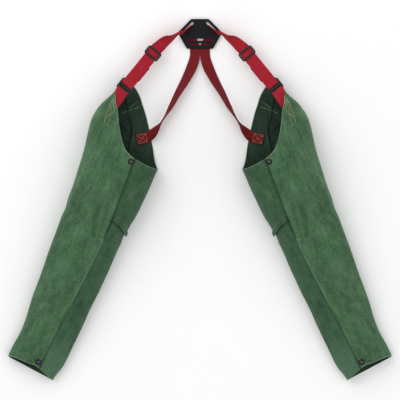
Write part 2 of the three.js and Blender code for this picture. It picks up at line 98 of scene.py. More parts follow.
# ---- node tools ----------------------------------------------------------------------------------
class Wiring:
    """A node tree being wired, with short calls for nodes and links."""

    def __init__(self, tree: bpy.types.NodeTree) -> None:
        """Takes the tree that the nodes go in."""
        self.tree = tree

    def add(self, kind: str, inputs: dict | None = None, **settings: object) -> bpy.types.Node:
        """Adds a node.

        Args:
            kind: the node's type name without its ShaderNode prefix.
            inputs: values or sockets by input name or index.
            settings: properties of the node.

        Returns:
            The new node.
        """
        node = self.tree.nodes.new(kind if kind.startswith("Node") else "ShaderNode" + kind)
        for name, value in settings.items():
            setattr(node, name, value)
        for key, value in (inputs or {}).items():
            self.feed(node.inputs[key], value)
        return node

    def feed(self, socket: bpy.types.NodeSocket, value: object) -> None:
        """Links a socket to another one, or sets it to a plain value.

        Args:
            socket: the input to feed.
            value: the socket or the plain value that it takes.
        """
        if isinstance(value, bpy.types.NodeSocket):
            self.tree.links.new(value, socket)
        else:
            socket.default_value = value

    def math(self, operation: str, *values: object) -> bpy.types.NodeSocket:
        """Returns the outcome of a Math node over values or sockets."""
        return self.add("Math", dict(enumerate(values)), operation=operation).outputs[0]

    def noise(self, vector: object, scale: object, detail: float) -> bpy.types.NodeSocket:
        """Returns a noise texture's value over a vector."""
        node = self.add("TexNoise", {"Vector": vector, "Scale": scale, "Detail": detail})
        return node.outputs["Fac"]

    def oblique(self, vector: object) -> bpy.types.NodeSocket:
        """Returns a vector turned askew, so that no noise lattice lies along the object."""
        turn = {"Vector": vector, "Rotation": ASKEW}
        return self.add("VectorRotate", turn, rotation_type="EULER_XYZ").outputs["Vector"]

    def ramp(self, value: object, low: float, high: float) -> bpy.types.NodeSocket:
        """Returns value stretched so that low becomes 0 and high becomes 1, smoothly."""
        reach = {"Value": value, "From Min": low, "From Max": high}
        return self.add("MapRange", reach, interpolation_type="SMOOTHSTEP").outputs["Result"]

    def mix(self, factor: object, first: object, second: object) -> bpy.types.NodeSocket:
        """Returns the blend of two colours."""
        return self.add("Mix", {0: factor, 6: first, 7: second}, data_type="RGBA").outputs[2]


class Surface(Wiring):
    """A material being wired, with its Principled shader."""

    def __init__(self, name: str) -> None:
        """Makes the material, its shader and its coordinates.

        Args:
            name: the material's name.
        """
        self.material = bpy.data.materials.new(name)
        self.material.use_nodes = True
        super().__init__(self.material.node_tree)
        self.tree.nodes.clear()
        self.shader = self.add("BsdfPrincipled")
        self.add("OutputMaterial", {"Surface": self.shader.outputs["BSDF"]})
        self.coords = self.add("TexCoord").outputs

    def mark(self, name: str) -> bpy.types.NodeSocket:
        """Returns a mark that the mesh carries, from 0 to 1."""
        return self.add("Attribute", attribute_name=name).outputs["Fac"]

    def effect(self, tree: bpy.types.NodeTree, vector: object, **values: object) -> object:
        """Places an effect group and returns its outputs; names take underscores for spaces."""
        inputs = {name.replace("_", " "): value for name, value in values.items()}
        return self.add("Group", {"Vector": vector} | inputs, node_tree=tree).outputs

    def dress(self, colour: object, roughness: object, height: object,
              bump: tuple[float, float], **plain: float) -> bpy.types.Material:
        """Feeds the shader.

        Args:
            colour: what the base colour takes.
            roughness: what the roughness takes.
            height: what the bump takes, or None for a flat surface.
            bump: the bump's strength and its distance in metres.
            plain: values of other sockets, with underscores for spaces.

        Returns:
            The finished material.
        """
        if height is not None:
            relief = self.add("Bump", {"Height": height, "Strength": bump[0], "Distance": bump[1]})
            self.feed(self.shader.inputs["Normal"], relief.outputs["Normal"])
        for name, value in ({"Base Color": colour, "Roughness": roughness} | plain).items():
            self.feed(self.shader.inputs[name.replace("_", " ")], value)
        return self.material


def open_group(name: str, numbers: dict[str, float],
               outputs: Sequence[str]) -> tuple[Wiring, object, object]:
    """Makes an empty effect group that reads a vector and some numbers.

    Args:
        name: the group's name.
        numbers: the default of each number by its input's name.
        outputs: the names of what it puts out.

    Returns:
        Its wiring, the sockets to read from and the sockets to feed.
    """
    tree = bpy.data.node_groups.new(name, "ShaderNodeTree")
    tree.interface.new_socket(name="Vector", in_out="INPUT", socket_type="NodeSocketVector")
    for word, value in numbers.items():
        socket = tree.interface.new_socket(
            name=word, in_out="INPUT", socket_type="NodeSocketFloat")
        socket.default_value = value
    for word in outputs:
        tree.interface.new_socket(name=word, in_out="OUTPUT", socket_type="NodeSocketFloat")
    wiring = Wiring(tree)
    return wiring, wiring.add("NodeGroupInput").outputs, wiring.add("NodeGroupOutput").inputs


class EffectGroups:
    """The surface effects that several materials share, each built once as a node group."""

    def __init__(self) -> None:
        """Builds the four groups."""
        self.nap = self._nap()
        self.weave = self._weave()
        self.wear = self._wear()
        self.scuff = self._scuff()

    @staticmethod
    def _nap() -> bpy.types.NodeTree:
        """Brushed suede: broad cloudy patches and brushed streaks under a short nap.

        Returns:
            The group.
        """
        w, source, out = open_group(
            "suede_nap", {"Patch Scale": 30.0, "Nap Scale": 600.0, "Patch Share": 0.6},
            ("Tone", "Height"))
        clouds = w.ramp(w.noise(source["Vector"], source["Patch Scale"], 5.0), 0.34, 0.66)
        streak_scale = w.math("MULTIPLY", source["Patch Scale"], 4.0)
        streaks = w.ramp(w.noise(source["Vector"], streak_scale, 4.0), 0.34, 0.66)
        patches = w.math("ADD", w.math("MULTIPLY", clouds, 0.6), w.math("MULTIPLY", streaks, 0.4))
        nap = w.noise(source["Vector"], source["Nap Scale"], 4.0)
        share = w.math("MULTIPLY", patches, source["Patch Share"])
        rest = w.math("SUBTRACT", 1.0, source["Patch Share"])
        w.feed(out["Tone"], w.math("ADD", share, w.math("MULTIPLY", w.ramp(nap, 0.36, 0.64), rest)))
        w.feed(out["Height"], nap)
        return w.tree

    @staticmethod
    def _weave() -> bpy.types.NodeTree:
        """Flat webbing: ribs along the strap crossed by the picks of a chevron.

        Returns:
            The group.
        """
        w, source, out = open_group(
            "webbing_weave", {"Rib Pitch": 0.0016, "Pick Pitch": 0.0011}, ("Tone", "Height"))
        split = w.add("SeparateXYZ", {"Vector": source["Vector"]}).outputs
        rib = w.math("DIVIDE", split["X"], source["Rib Pitch"])
        pick = w.math("DIVIDE", split["Y"], source["Pick Pitch"])
        slanted = w.math("ADD", pick, w.math("PINGPONG", rib, 4.0))
        ribs, picks = (w.math("ABSOLUTE", w.math("SINE", w.math("MULTIPLY", turn, math.pi)))
                       for turn in (rib, slanted))
        height = w.math("MULTIPLY", w.math("ADD", ribs, picks), 0.5)
        fuzz = w.math("MULTIPLY", w.noise(source["Vector"], 900.0, 2.0), 0.3)
        w.feed(out["Height"], height)
        w.feed(out["Tone"], w.math("ADD", w.math("MULTIPLY", height, 0.7), fuzz))
        return w.tree

    @staticmethod
    def _wear() -> bpy.types.NodeTree:
        """Edge wear: an edge mask broken up by noise.

        Returns:
            The group.
        """
        w, source, out = open_group(
            "edge_wear", {"Edge": 0.0, "Break Scale": 160.0, "Amount": 0.6}, ("Mask",))
        noise = w.noise(w.oblique(source["Vector"]), source["Break Scale"], 4.0)
        broken = w.math("MULTIPLY", w.math("SUBTRACT", noise, 0.5), 0.7)
        mask = w.ramp(w.math("ADD", source["Edge"], broken), 0.45, 1.0)
        w.feed(out["Mask"], w.math("MULTIPLY", mask, source["Amount"]))
        return w.tree

    @staticmethod
    def _scuff() -> bpy.types.NodeTree:
        """Light scuffs and dust: sparse soft blotches.

        Returns:
            The group.
        """
        w, source, out = open_group("scuff_dust", {"Scale": 60.0, "Amount": 0.3}, ("Mask",))
        blotch = w.ramp(w.noise(w.oblique(source["Vector"]), source["Scale"], 6.0), 0.52, 0.72)
        w.feed(out["Mask"], w.math("MULTIPLY", blotch, source["Amount"]))
        return w.tree


def shade(colour: Sequence[float], share: float = 1.0) -> tuple[float, float, float, float]:
    """Turns a display colour into what the shader takes.

    Args:
        colour: red, green and blue from 0 to 255.
        share: what they are multiplied by first.

    Returns:
        The colour as linear RGBA.
    """
    parts = [c * share / 255 for c in colour]
    linear = [((c + 0.055) / 1.055) ** 2.4 if c * 255 > 10 else c / 12.92 for c in parts]
    return (linear[0], linear[1], linear[2], 1.0)


# ---- finishes ------------------------------------------------------------------------------------
@dataclass(frozen=True)
class Finish:
    """What every finish has: a name and the two colours that its grain lies between."""

    name: str
    dark: Colour
    light: Colour

    def tone(self, w: Surface, mask: object) -> bpy.types.NodeSocket:
        """Returns the colour that a mask picks between dark and light."""
        return w.mix(mask, shade(self.dark), shade(self.light))


@dataclass(frozen=True)
class SuedeFinish(Finish):
    """Brushed split leather."""

    worn: Colour
    wear: float = 0.5
    patch_scale: float = 24.0
    nap_scale: float = 430.0
    brushed: float = 0.45
    fade: float = 0.5
    # How strongly the painted shade in folds, beside the near seam and under the hem darkens the
    # leather.
    hollow: float = 0.7
    hollow_shade: float = 0.42

    def material(self, effects: EffectGroups) -> bpy.types.Material:
        """Makes the suede's material.

        Args:
            effects: the shared effects.

        Returns:
            The material.
        """
        w = Surface(self.name)
        brushed = w.add("VectorMath", {0: w.coords["UV"], 1: (1.0, self.brushed, 1.0)},
                        operation="MULTIPLY").outputs["Vector"]
        nap = w.effect(effects.nap, brushed, Patch_Scale=self.patch_scale,
                       Nap_Scale=self.nap_scale, Patch_Share=0.6)
        worn = w.effect(effects.wear, w.coords["Object"], Edge=w.mark("edge"), Break_Scale=170.0,
                        Amount=self.wear)
        scuff = w.effect(effects.scuff, brushed, Scale=40.0, Amount=0.16)
        faded = w.math("MULTIPLY", w.mark("faded"), self.fade)
        colour = self.tone(w, nap["Tone"])
        for mask in (faded, scuff["Mask"], worn["Mask"]):
            colour = w.mix(mask, colour, shade(self.worn))
        # Painted shade: the leather is darkened in its folds, beside the near seam, under the hem
        # and along the creases inside the shoulder.
        hollow = w.math("MULTIPLY", w.mark("hollow"), self.hollow)
        colour = w.mix(hollow, colour, shade(self.dark, self.hollow_shade))
        return w.dress(colour, w.math("MULTIPLY_ADD", nap["Tone"], 0.12, 0.84), nap["Height"],
                       (0.35, 0.0006), Specular_IOR_Level=0.18, Sheen_Weight=0.08,
                       Sheen_Roughness=0.55)


@dataclass(frozen=True)
class WebbingFinish(Finish):
    """Woven webbing."""

    worn: Colour
    rib_pitch: float = 0.0021
    pick_pitch: float = 0.0015

    def material(self, effects: EffectGroups) -> bpy.types.Material:
        """Makes the webbing's material.

        Args:
            effects: the shared effects.

        Returns:
            The material.
        """
        w = Surface(self.name)
        weave = w.effect(effects.weave, w.coords["UV"], Rib_Pitch=self.rib_pitch,
                         Pick_Pitch=self.pick_pitch)
        worn = w.effect(effects.wear, w.coords["Object"], Edge=w.mark("edge"), Break_Scale=420.0,
                        Amount=0.35)
        scuff = w.effect(effects.scuff, w.coords["Object"], Scale=90.0, Amount=0.25)
        colour = self.tone(w, weave["Tone"])
        for mask in (scuff["Mask"], worn["Mask"]):
            colour = w.mix(mask, colour, shade(self.worn))
        return w.dress(colour, w.math("MULTIPLY_ADD", weave["Height"], -0.2, 0.86),
                       weave["Height"], (0.5, 0.0004), Specular_IOR_Level=0.12, Sheen_Weight=0.02)


@dataclass(frozen=True)
class MouldedFinish(Finish):
    """Moulded plastic or blackened metal with a fine grain."""

    roughness: float = 0.42
    grain: float = 900.0
    gloss: float = 0.16
    rubbed: float = 1.45
    # Colour of the painted highlight on a rivet's dome.
    crown: Colour = (112, 108, 122)

    def material(self, effects: EffectGroups) -> bpy.types.Material:
        """Makes the moulding's material.

        Args:
            effects: the shared effects.

        Returns:
            The material.
        """
        w = Surface(self.name)
        place = w.coords["Object"]
        nap = w.effect(effects.nap, place, Patch_Scale=70.0, Nap_Scale=self.grain, Patch_Share=0.5)
        scuff = w.effect(effects.scuff, place, Scale=150.0, Amount=0.5)
        colour = w.mix(scuff["Mask"], self.tone(w, nap["Tone"]), shade(self.light, self.rubbed))
        # Painted highlight: a lighter spot on the crown of a rivet's dome.
        colour = w.mix(w.mark("crown"), colour, shade(self.crown))
        return w.dress(colour, w.math("MULTIPLY_ADD", nap["Tone"], 0.16, self.roughness),
                       nap["Height"], (0.12, 0.0003), Specular_IOR_Level=self.gloss)


@dataclass(frozen=True)
class ThreadFinish(Finish):
    """Twisted sewing thread."""

    def material(self, effects: EffectGroups) -> bpy.types.Material:
        """Makes the thread's material.

        Args:
            effects: the shared effects.

        Returns:
            The material.
        """
        w = Surface(self.name)
        ply = w.effect(effects.weave, w.coords["UV"], Rib_Pitch=0.0006, Pick_Pitch=0.0008)
        scuff = w.effect(effects.scuff, w.coords["Object"], Scale=240.0, Amount=0.5)
        colour = w.mix(scuff["Mask"], self.tone(w, ply["Tone"]), shade(self.dark))
        return w.dress(colour, w.math("MULTIPLY_ADD", ply["Tone"], 0.2, 0.6), ply["Height"],
                       (0.4, 0.0002))


@dataclass(frozen=True)
class PaperFinish(Finish):
    """Plain matt paper for the floor."""

    def material(self, effects: EffectGroups) -> bpy.types.Material:
        """Makes the paper's material.

        Args:
            effects: the shared effects.

        Returns:
            The material.
        """
        w = Surface(self.name)
        nap = w.effect(effects.nap, w.coords["Object"], Patch_Scale=2.0, Nap_Scale=300.0,
                       Patch_Share=0.5)
        return w.dress(self.tone(w, nap["Tone"]), 1.0, None, (0, 0), Specular_IOR_Level=0.0)


class Look(Enum):
    """Every finish that the object and its floor have."""

    GRAIN = SuedeFinish("split_leather", (43, 73, 49), (81, 117, 82), (134, 164, 138), 0.85)
    UNDERARM = SuedeFinish("underarm_leather", (40, 68, 46), (66, 100, 69), (110, 142, 114), 0.8)
    LOWER_UNDERARM = SuedeFinish(
        "lower_underarm_leather", (40, 68, 48), (67, 100, 72), (96, 130, 102))
    FLESH = SuedeFinish("leather_inside", (26, 44, 33), (46, 68, 54), (92, 122, 98), 0.6)
    CUT = SuedeFinish(
        "leather_cut_edge", (112, 140, 118), (150, 172, 150), (170, 186, 164), 0.4, 220.0)
    WEBBING = WebbingFinish("strap_webbing", (122, 14, 28), (178, 36, 50), (172, 60, 68))
    LOWER_WEBBING = WebbingFinish("lower_webbing", (84, 14, 18), (130, 32, 36), (138, 54, 56))
    PLATE = MouldedFinish("moulded_plate", (12, 12, 14), (23, 22, 25))
    BUCKLE = MouldedFinish("moulded_buckle", (14, 14, 17), (28, 28, 32), 0.3, gloss=0.3)
    RIVET = MouldedFinish("blackened_rivet", (6, 6, 8), (15, 14, 18), 0.2, 400.0, 0.25)
    RED_THREAD = ThreadFinish("webbing_thread", (104, 30, 34), (158, 66, 64))
    HEM_THREAD = ThreadFinish("hem_thread", (96, 120, 80), (150, 164, 118))
    THREAD = ThreadFinish("stitching_thread", (150, 142, 98), (206, 198, 150))
    FLOOR = PaperFinish("pale_floor", (252, 252, 252), (254, 254, 254))


class Wardrobe:
    """Every material of the object, made once."""

    def __init__(self) -> None:
        """Builds the effects and the materials."""
        effects = EffectGroups()
        self.made = {look: look.value.material(effects) for look in Look}

    def __getitem__(self, look: Look) -> bpy.types.Material:
        """Returns a finish's material."""
        return self.made[look]


# ---- mesh tools ----------------------------------------------------------------------------------
def make_piece(name: str, points: Array, faces: Sequence[Sequence[int]],
               materials: Sequence[bpy.types.Material], slots: Sequence[int] | None = None,
               uvs: Array | None = None, marks: dict[str, Array] | None = None) -> bpy.types.Object:
    """Makes a smooth-shaded piece from points in millimetres.

    Args:
        name: the piece's name.
        points: its vertices.
        faces: vertex numbers of each face.
        materials: its materials.
        slots: a material index for each face.
        uvs: a flat coordinate in millimetres for each vertex.
        marks: float attributes by name, a value for each vertex.

    Returns:
        The new object, its faces turned outward.
    """
    mesh = bpy.data.meshes.new(name)
    mesh.from_pydata((np.asarray(points, float) * MM).tolist(), [], [tuple(f) for f in faces])
    for material in materials:
        mesh.materials.append(material)
    if slots is not None:
        mesh.polygons.foreach_set("material_index", np.asarray(slots, np.int32))
    mesh.polygons.foreach_set("use_smooth", np.ones(len(mesh.polygons), bool))
    for mark, values in (marks or {}).items():
        attribute = mesh.attributes.new(mark, "FLOAT", "POINT")
        attribute.data.foreach_set("value", np.asarray(values, np.float32))
    if uvs is not None:
        layer = mesh.uv_layers.new(name="UVMap")
        corner = np.empty(len(mesh.loops), np.int32)
        mesh.loops.foreach_get("vertex_index", corner)
        layer.data.foreach_set("uv", (np.asarray(uvs, float)[corner] * MM).ravel())
    work = bmesh.new()
    work.from_mesh(mesh)
    bmesh.ops.recalc_face_normals(work, faces=work.faces)
    work.to_mesh(mesh)
    work.free()
    piece = bpy.data.objects.new(name, mesh)
    bpy.context.collection.objects.link(piece)
    return piece


def declare(piece: bpy.types.Object, slot: str, *nodes: str,
            body: str | None = None) -> bpy.types.Object:
    """Hides the frame's nodes that a piece stands for, hangs it on the body that it rides on, and
    reports it.

    Args:
        piece: the piece.
        slot: the name of the record's material slot for its finish; not used.
        nodes: the frame's nodes that it stands for.
        body: the body that it rides on, where it doesn't bend between two.

    Returns:
        The piece.
    """
    if nodes:
        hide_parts(*nodes)
    if body:
        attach(piece, body)
    log.info("%s: %d faces, %s", piece.name, len(piece.data.polygons), body or "bends at a joint")
    return piece


def baked(shape: bpy.types.Object) -> tuple[Array, list[tuple[int, ...]]]:
    """Reads the mesh that an object's modifiers or curve make, and removes the object.

    Args:
        shape: the object, not yet in the scene.

    Returns:
        The mesh's points in millimetres and its faces.
    """
    bpy.context.collection.objects.link(shape)
    bpy.context.view_layer.update()
    ready = shape.evaluated_get(bpy.context.evaluated_depsgraph_get()).to_mesh()
    points = np.array([v.co for v in ready.vertices]) / MM
    faces = [tuple(p.vertices) for p in ready.polygons]
    bpy.data.objects.remove(shape)
    return points, faces


def slab_faces(rows: int, cols: int) -> tuple[list[tuple[int, ...]], list[int]]:
    """Faces of a closed slab between two grids, the outer one numbered first.

    Args:
        rows: rows of each grid.
        cols: columns of each grid.

    Returns:
        The faces and the Face value of each.
    """
    count = rows * cols
    number = np.arange(count).reshape(rows, cols)
    a, b = number[:-1, :-1].ravel(), number[:-1, 1:].ravel()
    c, d = number[1:, 1:].ravel(), number[1:, :-1].ravel()
    faces = [tuple(f) for f in np.stack([a, b, c, d], 1).tolist()]
    kinds = [Face.GRAIN.value] * len(faces)
    faces += [tuple(f) for f in (np.stack([d, c, b, a], 1) + count).tolist()]
    kinds += [Face.FLESH.value] * len(a)
    rim = [*number[0, :], *number[1:, -1], *number[-1, -2::-1], *number[-2:0:-1, 0]]
    for p, q in zip(rim, rim[1:] + rim[:1]):
        faces.append((int(q), int(p), int(p) + count, int(q) + count))
        kinds.append(Face.CUT.value)
    return faces, kinds


def hermite(u: Array, h: Array, ends: Sequence[Array], slopes: Sequence[Array]) -> Array:
    """Draws a smooth curve between two knots.

    Args:
        u: shares of the way from 0 to 1.
        h: the way's length.
        ends: the values at its two ends.
        slopes: the slopes there.

    Returns:
        The values at the shares.
    """
    return ((1 + 2 * u) * (1 - u) ** 2 * ends[0] + u * (1 - u) ** 2 * h * slopes[0]
            + u * u * (3 - 2 * u) * ends[1] + u * u * (u - 1) * h * slopes[1])


def smooth_through(knots: Array, count: int) -> Array:
    """Points on a smooth curve through knots.

    Args:
        knots: rows of any number of values, the first three being a place.
        count: how many points to return.

    Returns:
        The points, evenly spaced along the knots' own chord length.
    """
    step = np.linalg.norm(np.diff(knots[:, :3], axis=0), axis=1)
    at = np.concatenate([[0.0], np.cumsum(np.maximum(step, 1e-6))])
    slope = np.gradient(knots, at, axis=0)
    t = np.linspace(0, at[-1], count)
    i = np.clip(np.searchsorted(at, t, side="right") - 1, 0, len(at) - 2)
    h = (at[i + 1] - at[i])[:, None]
    u = ((t - at[i]) / h[:, 0])[:, None]
    return hermite(u, h, (knots[i], knots[i + 1]), (slope[i], slope[i + 1]))


def unit(vectors: Array) -> Array:
    """Returns vectors scaled to a length of one."""
    return vectors / np.maximum(np.linalg.norm(vectors, axis=-1, keepdims=True), 1e-9)


def ease(t: Array) -> Array:
    """Returns a smooth step of t from 0 to 1."""
    t = np.clip(t, 0, 1)
    return t * t * (3 - 2 * t)


@dataclass(frozen=True)
class Seamstress:
    """Sews rows of raised stitches along paths."""

    thread: bpy.types.Material
    pitch: float
    length: float
    radius: float
    sides: int = 8
    swell: tuple[float, ...] = (0.35, 0.85, 1.0, 1.0, 0.85, 0.35)
    lift: tuple[float, ...] = (0.1, 0.45, 0.6, 0.6, 0.45, 0.1)

    def sew(self, name: str, runs: Sequence[tuple[Array, Array]]) -> bpy.types.Object:
        """Makes one piece of all the stitches of some runs.

        Args:
            name: the piece's name.
            runs: pairs of a path's points and the surface's normals there.

        Returns:
            The stitches.
        """
        points: list[Array] = []
        faces: list[tuple[int, ...]] = []
        uvs: list[Array] = []
        rings, sides = len(self.swell), self.sides
        turn = np.linspace(0, 2 * math.pi, sides, endpoint=False)
        swell, lift = (np.array(v)[:, None, None] * self.radius for v in (self.swell, self.lift))
        reach = np.linspace(-0.5, 0.5, rings) * self.length
        for path, normals in runs:
            step = np.linalg.norm(np.diff(path, axis=0), axis=1)
            at = np.concatenate([[0.0], np.cumsum(step)])
            count = max(1, int(at[-1] / self.pitch))
            for middle in (np.arange(count) + 0.5) * at[-1] / count:
                centre = np.stack([np.interp(middle + reach, at, path[:, a]) for a in range(3)], 1)
                up = unit(np.array([np.interp(middle, at, normals[:, a]) for a in range(3)]))
                sideways = unit(np.cross(unit(centre[-1] - centre[0]), up))
                ring = np.cos(turn)[None, :, None] * sideways + np.sin(turn)[None, :, None] * up
                base = len(points) * rings * sides
                points.append((centre[:, None, :] + lift * up + ring * swell).reshape(-1, 3))
                uvs.append(np.stack([np.tile(turn, rings) * self.radius,
                                     np.repeat(reach, sides)], 1))
                number = base + np.arange(rings * sides).reshape(rings, sides)
                beside = np.roll(number, -1, axis=1)
                walls = np.stack([number[:-1], beside[:-1], beside[1:], number[1:]], -1)
                faces += [tuple(f) for f in walls.reshape(-1, 4).tolist()]
                faces += [tuple(number[0].tolist()), tuple(number[-1].tolist())]
        return make_piece(name, np.concatenate(points), faces, [self.thread],
                          uvs=np.concatenate(uvs))


# ---- the sleeve's form ---------------------------------------------------------------------------
@dataclass(frozen=True)
class Profile:
    """A smooth curve through knots of (place, value)."""

    knots: Line

    def __call__(self, x: Array) -> Array:
        """Reads the curve.

        Args:
            x: the places.

        Returns:
            The curve's value at each place.
        """
        xs, ys = np.array(self.knots, float).T
        slope = np.zeros_like(ys)
        slope[1:-1] = (ys[2:] - ys[:-2]) / (xs[2:] - xs[:-2])
        x = np.clip(np.asarray(x, float), xs[0], xs[-1])
        i = np.clip(np.searchsorted(xs, x, side="right") - 1, 0, len(xs) - 2)
        h = xs[i + 1] - xs[i]
        return hermite((x - xs[i]) / h, h, (ys[i], ys[i + 1]), (slope[i], slope[i + 1]))


@dataclass(frozen=True)
class Crease:
    """A soft fold pressed into the leather along a line, deep inward where positive."""

    line: Line
    wide: float
    deep: float
    upper: bool = True

    def press(self, s: Array, v: Array) -> Array:
        """Works out the fold's depth.

        Args:
            s: places along the sleeve.
            v: places across it.

        Returns:
            How far the fold moves the leather inward at each place.
        """
        nearest = np.full(np.shape(s), 1e9)
        for (s0, v0), (s1, v1) in zip(self.line, self.line[1:]):
            ds, dv = s1 - s0, v1 - v0
            t = np.clip(((s - s0) * ds + (v - v0) * dv) / (ds * ds + dv * dv), 0, 1)
            nearest = np.minimum(nearest, np.hypot(s - s0 - t * ds, v - v0 - t * dv))
        return self.deep * np.exp(-(nearest / self.wide) ** 2)


@dataclass(frozen=True)
class SleeveForm:
    """The surface that a sleeve's leather follows, the same as the frame's, with its folds."""

    length: float = 612.0
    tilt: float = math.radians(23)
    shoulder: tuple[float, float] = (99.9, 225.9)
    round_top: float = 2.1
    round_bottom: float = 2.8
    sink: float = 2.5
    elbow: float = 325.0
    blend_reach: float = 36.0
    inner_half: Profile = Profile((
        (-5, 51), (30, 58.8), (70, 61.4), (150, 64.5), (200, 67.5), (290, 68.5), (330, 71.5),
        (365, 77), (466, 79.5), (612, 79.5)))
    outer_half: Profile = Profile((
        (-5, 50.5), (76, 48.8), (127, 52.7), (228, 58.9), (331, 63.2), (400, 68.7), (450, 75),
        (505, 83), (530, 80.5), (548, 75), (576, 62.5), (612, 61)))
    full_height: Profile = Profile((
        (-5, 30), (150, 50), (320, 72), (440, 88), (480, 85), (520, 73), (560, 57), (612, 42)))
    widest_height: Profile = Profile((
        (-5, 12), (150, 20), (320, 29), (440, 36), (480, 35), (520, 31), (560, 27), (612, 22)))
    near_seam: Profile = Profile((
        (-5, 16.6), (66, 19.8), (158, 25.8), (251, 33.2), (340, 33.8), (416, 31), (470, 29)))
    far_seam: Profile = Profile((
        (-5, 47), (160, 42), (330, 30), (440, 19), (490, 12), (522, 2), (550, -18), (612, -45)))
    armhole: Profile = Profile((
        (0, 466), (60, 466), (90, 481), (121, 541), (145, 564), (170, 581), (195, 606), (225, 607),
        (264, 581), (306, 511), (330, 476), (360, 466)))
    cuff_lift: Profile = Profile((
        (0, 0), (25, 0.6), (46, 3), (65, 6.2), (80, 9.4), (92, 8.8), (105, 7.4), (130, 5.4),
        (155, 3), (180, 0), (360, 0)))
    creases: tuple[Crease, ...] = (
        Crease(((146, 19.5), (124, 19.5), (94, 22)), 2.6, 1.5),
        Crease(((300, 8), (352, -4), (372, -30)), 12.0, 1.6),
        Crease(((318, -20), (338, -52)), 9.0, 1.5),
        Crease(((268, 44), (300, 62)), 10.0, 2.2),
        Crease(((150, 40), (190, 50), (236, 58)), 9.0, 3.4),
        Crease(((120, 34), (160, 43)), 6.0, 2.2),
        Crease(((372, 46), (402, 66)), 9.0, 1.6),
        Crease(((420, -10), (470, -34)), 14.0, 1.6),
        Crease(((60, -6), (96, -30)), 9.0, 1.2),
        Crease(((84, 36), (112, 41)), 8.0, 2.4),
        Crease(((548, -38), (568, -25), (584, -14)), 4.0, 3.4, False),
        Crease(((546, -14), (519, 1), (500, 6)), 4.5, 0.9, False),
        Crease(((566, -35), (560, -24)), 2.5, 1.6, False),
        Crease(((521, -29), (514, -9)), 6.0, 2.0, False),
    )
    wave_seed: int = 7
    swells: tuple[tuple[float, float, float], ...] = ((1.25, 150.0, 0.0), (0.5, 62.0, 3.1))
    least_relief: float = 0.55
    seam_groove: tuple[float, float] = (1.3, 4.2)
    seam_pucker: tuple[float, float] = (0.16, 8.0)
    seam_ridge: tuple[float, float, float] = (0.9, 5.5, 2.4)
    elbow_ripple: tuple[float, float, float] = (0.8, 34.0, 7.5)
    hem_rise: float = 11.0
    hem_dip: float = 18.0
    cuff_start: float = -0.5
    cuff_slant: float = 4.5
    line_share: float = 0.36
    wall_turn: float = 5.0

    def across(self, s: Array, c: Array) -> Array:
        """Returns the half width at s on the side that the cosine c is on."""
        return np.where(c >= 0, self.inner_half(s), self.outer_half(s))

    def section(self, s: Array, q: Array) -> Array:
        """Finds the smooth sleeve without its folds.

        Args:
            s: places along the sleeve.
            q: angles round it.

        Returns:
            The points as (s, v, z).
        """
        c = np.cos(q)
        upper = np.mod(q, 2 * math.pi) <= math.pi
        middle = self.widest_height(s)
        power = np.where(upper, self.round_top, self.round_bottom)
        lift = np.maximum(0, 1 - np.abs(c) ** power) ** (1 / power)
        z = np.where(upper, middle + (self.full_height(s) - middle) * lift,
                     middle - (middle + self.sink) * lift)
        return np.stack([s, self.across(s, c) * c, np.maximum(0, z)], -1)

    def normal(self, s: Array, q: Array) -> Array:
        """Finds the way out of the smooth sleeve.

        Args:
            s: places along the sleeve.
            q: angles round it.

        Returns:
            The outward directions.
        """
        along = self.section(s + 1, q) - self.section(s - 1, q)
        around = self.section(s, q + 1e-3) - self.section(s, q - 1e-3)
        return unit(np.cross(around, along))

    def inner_lines(self, s: Array, q: Array) -> Array:
        """Masks the thin lines of painted shade along the folds inside the shoulder.

        Args:
            s: places along the sleeve.
            q: angles round it.

        Returns:
            The mask, 1 on a line.
        """
        v = self.section(s, q)[..., 1]
        lines = [Crease(c.line, c.wide * self.line_share, 1.0).press(s, v)
                 for c in self.creases if not c.upper]
        return np.maximum.reduce(lines) * self.wall(q, -1)

    def wall(self, q: Array, way: int) -> Array:
        """Returns a mask of the upper wall, or of the bench wall where way is -1."""
        return np.clip(way * np.sin(q) * self.wall_turn, 0, 1)

    def waves(self, points: Array) -> Array:
        """Makes a lumpy field.

        Args:
            points: places in units of its wavelength.

        Returns:
            Values of about -1 to 1.
        """
        rng = np.random.default_rng(self.wave_seed)
        total = np.zeros(points.shape[:-1])
        for _ in range(10):
            direction = unit(rng.normal(size=3)) * rng.uniform(4.5, 8.5)
            total += np.sin(points @ direction + rng.uniform(0, 2 * math.pi))
        return total / 4.5

    def seam_press(self, s: Array, q: Array, v: Array) -> Array:
        """Works out how the near seam draws the leather in, with its small puckers.

        Args:
            s: places along the sleeve.
            q: angles round it.
            v: places across it.

        Returns:
            How far the leather is moved inward.
        """
        beside = v - self.near_seam(s)
        (groove, wide), (pucker, reach), (ridge, aside, narrow) = (
            self.seam_groove, self.seam_pucker, self.seam_ridge)
        total = groove * np.exp(-(beside / wide) ** 2)
        total = total + (pucker * np.sin(s / 4.1 + 1.4 * np.sin(s / 17))
                         * np.exp(-(beside / reach) ** 2))
        below_elbow = ease((self.elbow - 30 - s) / 40)
        total = total - ridge * np.exp(-((beside + aside) / narrow) ** 2) * below_elbow
        return total * self.wall(q, 1)

    def relief(self, s: Array, q: Array) -> Array:
        """Works out how folds and lumps stand out of the smooth sleeve.

        Args:
            s: places along the sleeve.
            q: angles round it.

        Returns:
            Their heights.
        """
        base = self.section(s, q)
        v = base[..., 1]
        total = -self.seam_press(s, q, v)
        for height, length, shift in self.swells:
            total = total + height * self.waves(base / length + shift)
        for crease in self.creases:
            total = total - crease.press(s, v) * self.wall(q, 1 if crease.upper else -1)
        height, reach, pitch = self.elbow_ripple
        past = s - self.elbow
        near_elbow = np.exp(-(past / reach) ** 2) * np.clip(-np.cos(q) + 0.3, 0, 1)
        total = total + height * near_elbow * np.sin(past / pitch + v / 40)
        clear = ease(base[..., 2] / 9)
        return np.where(total > 0, total * clear, total * np.maximum(clear, self.least_relief))

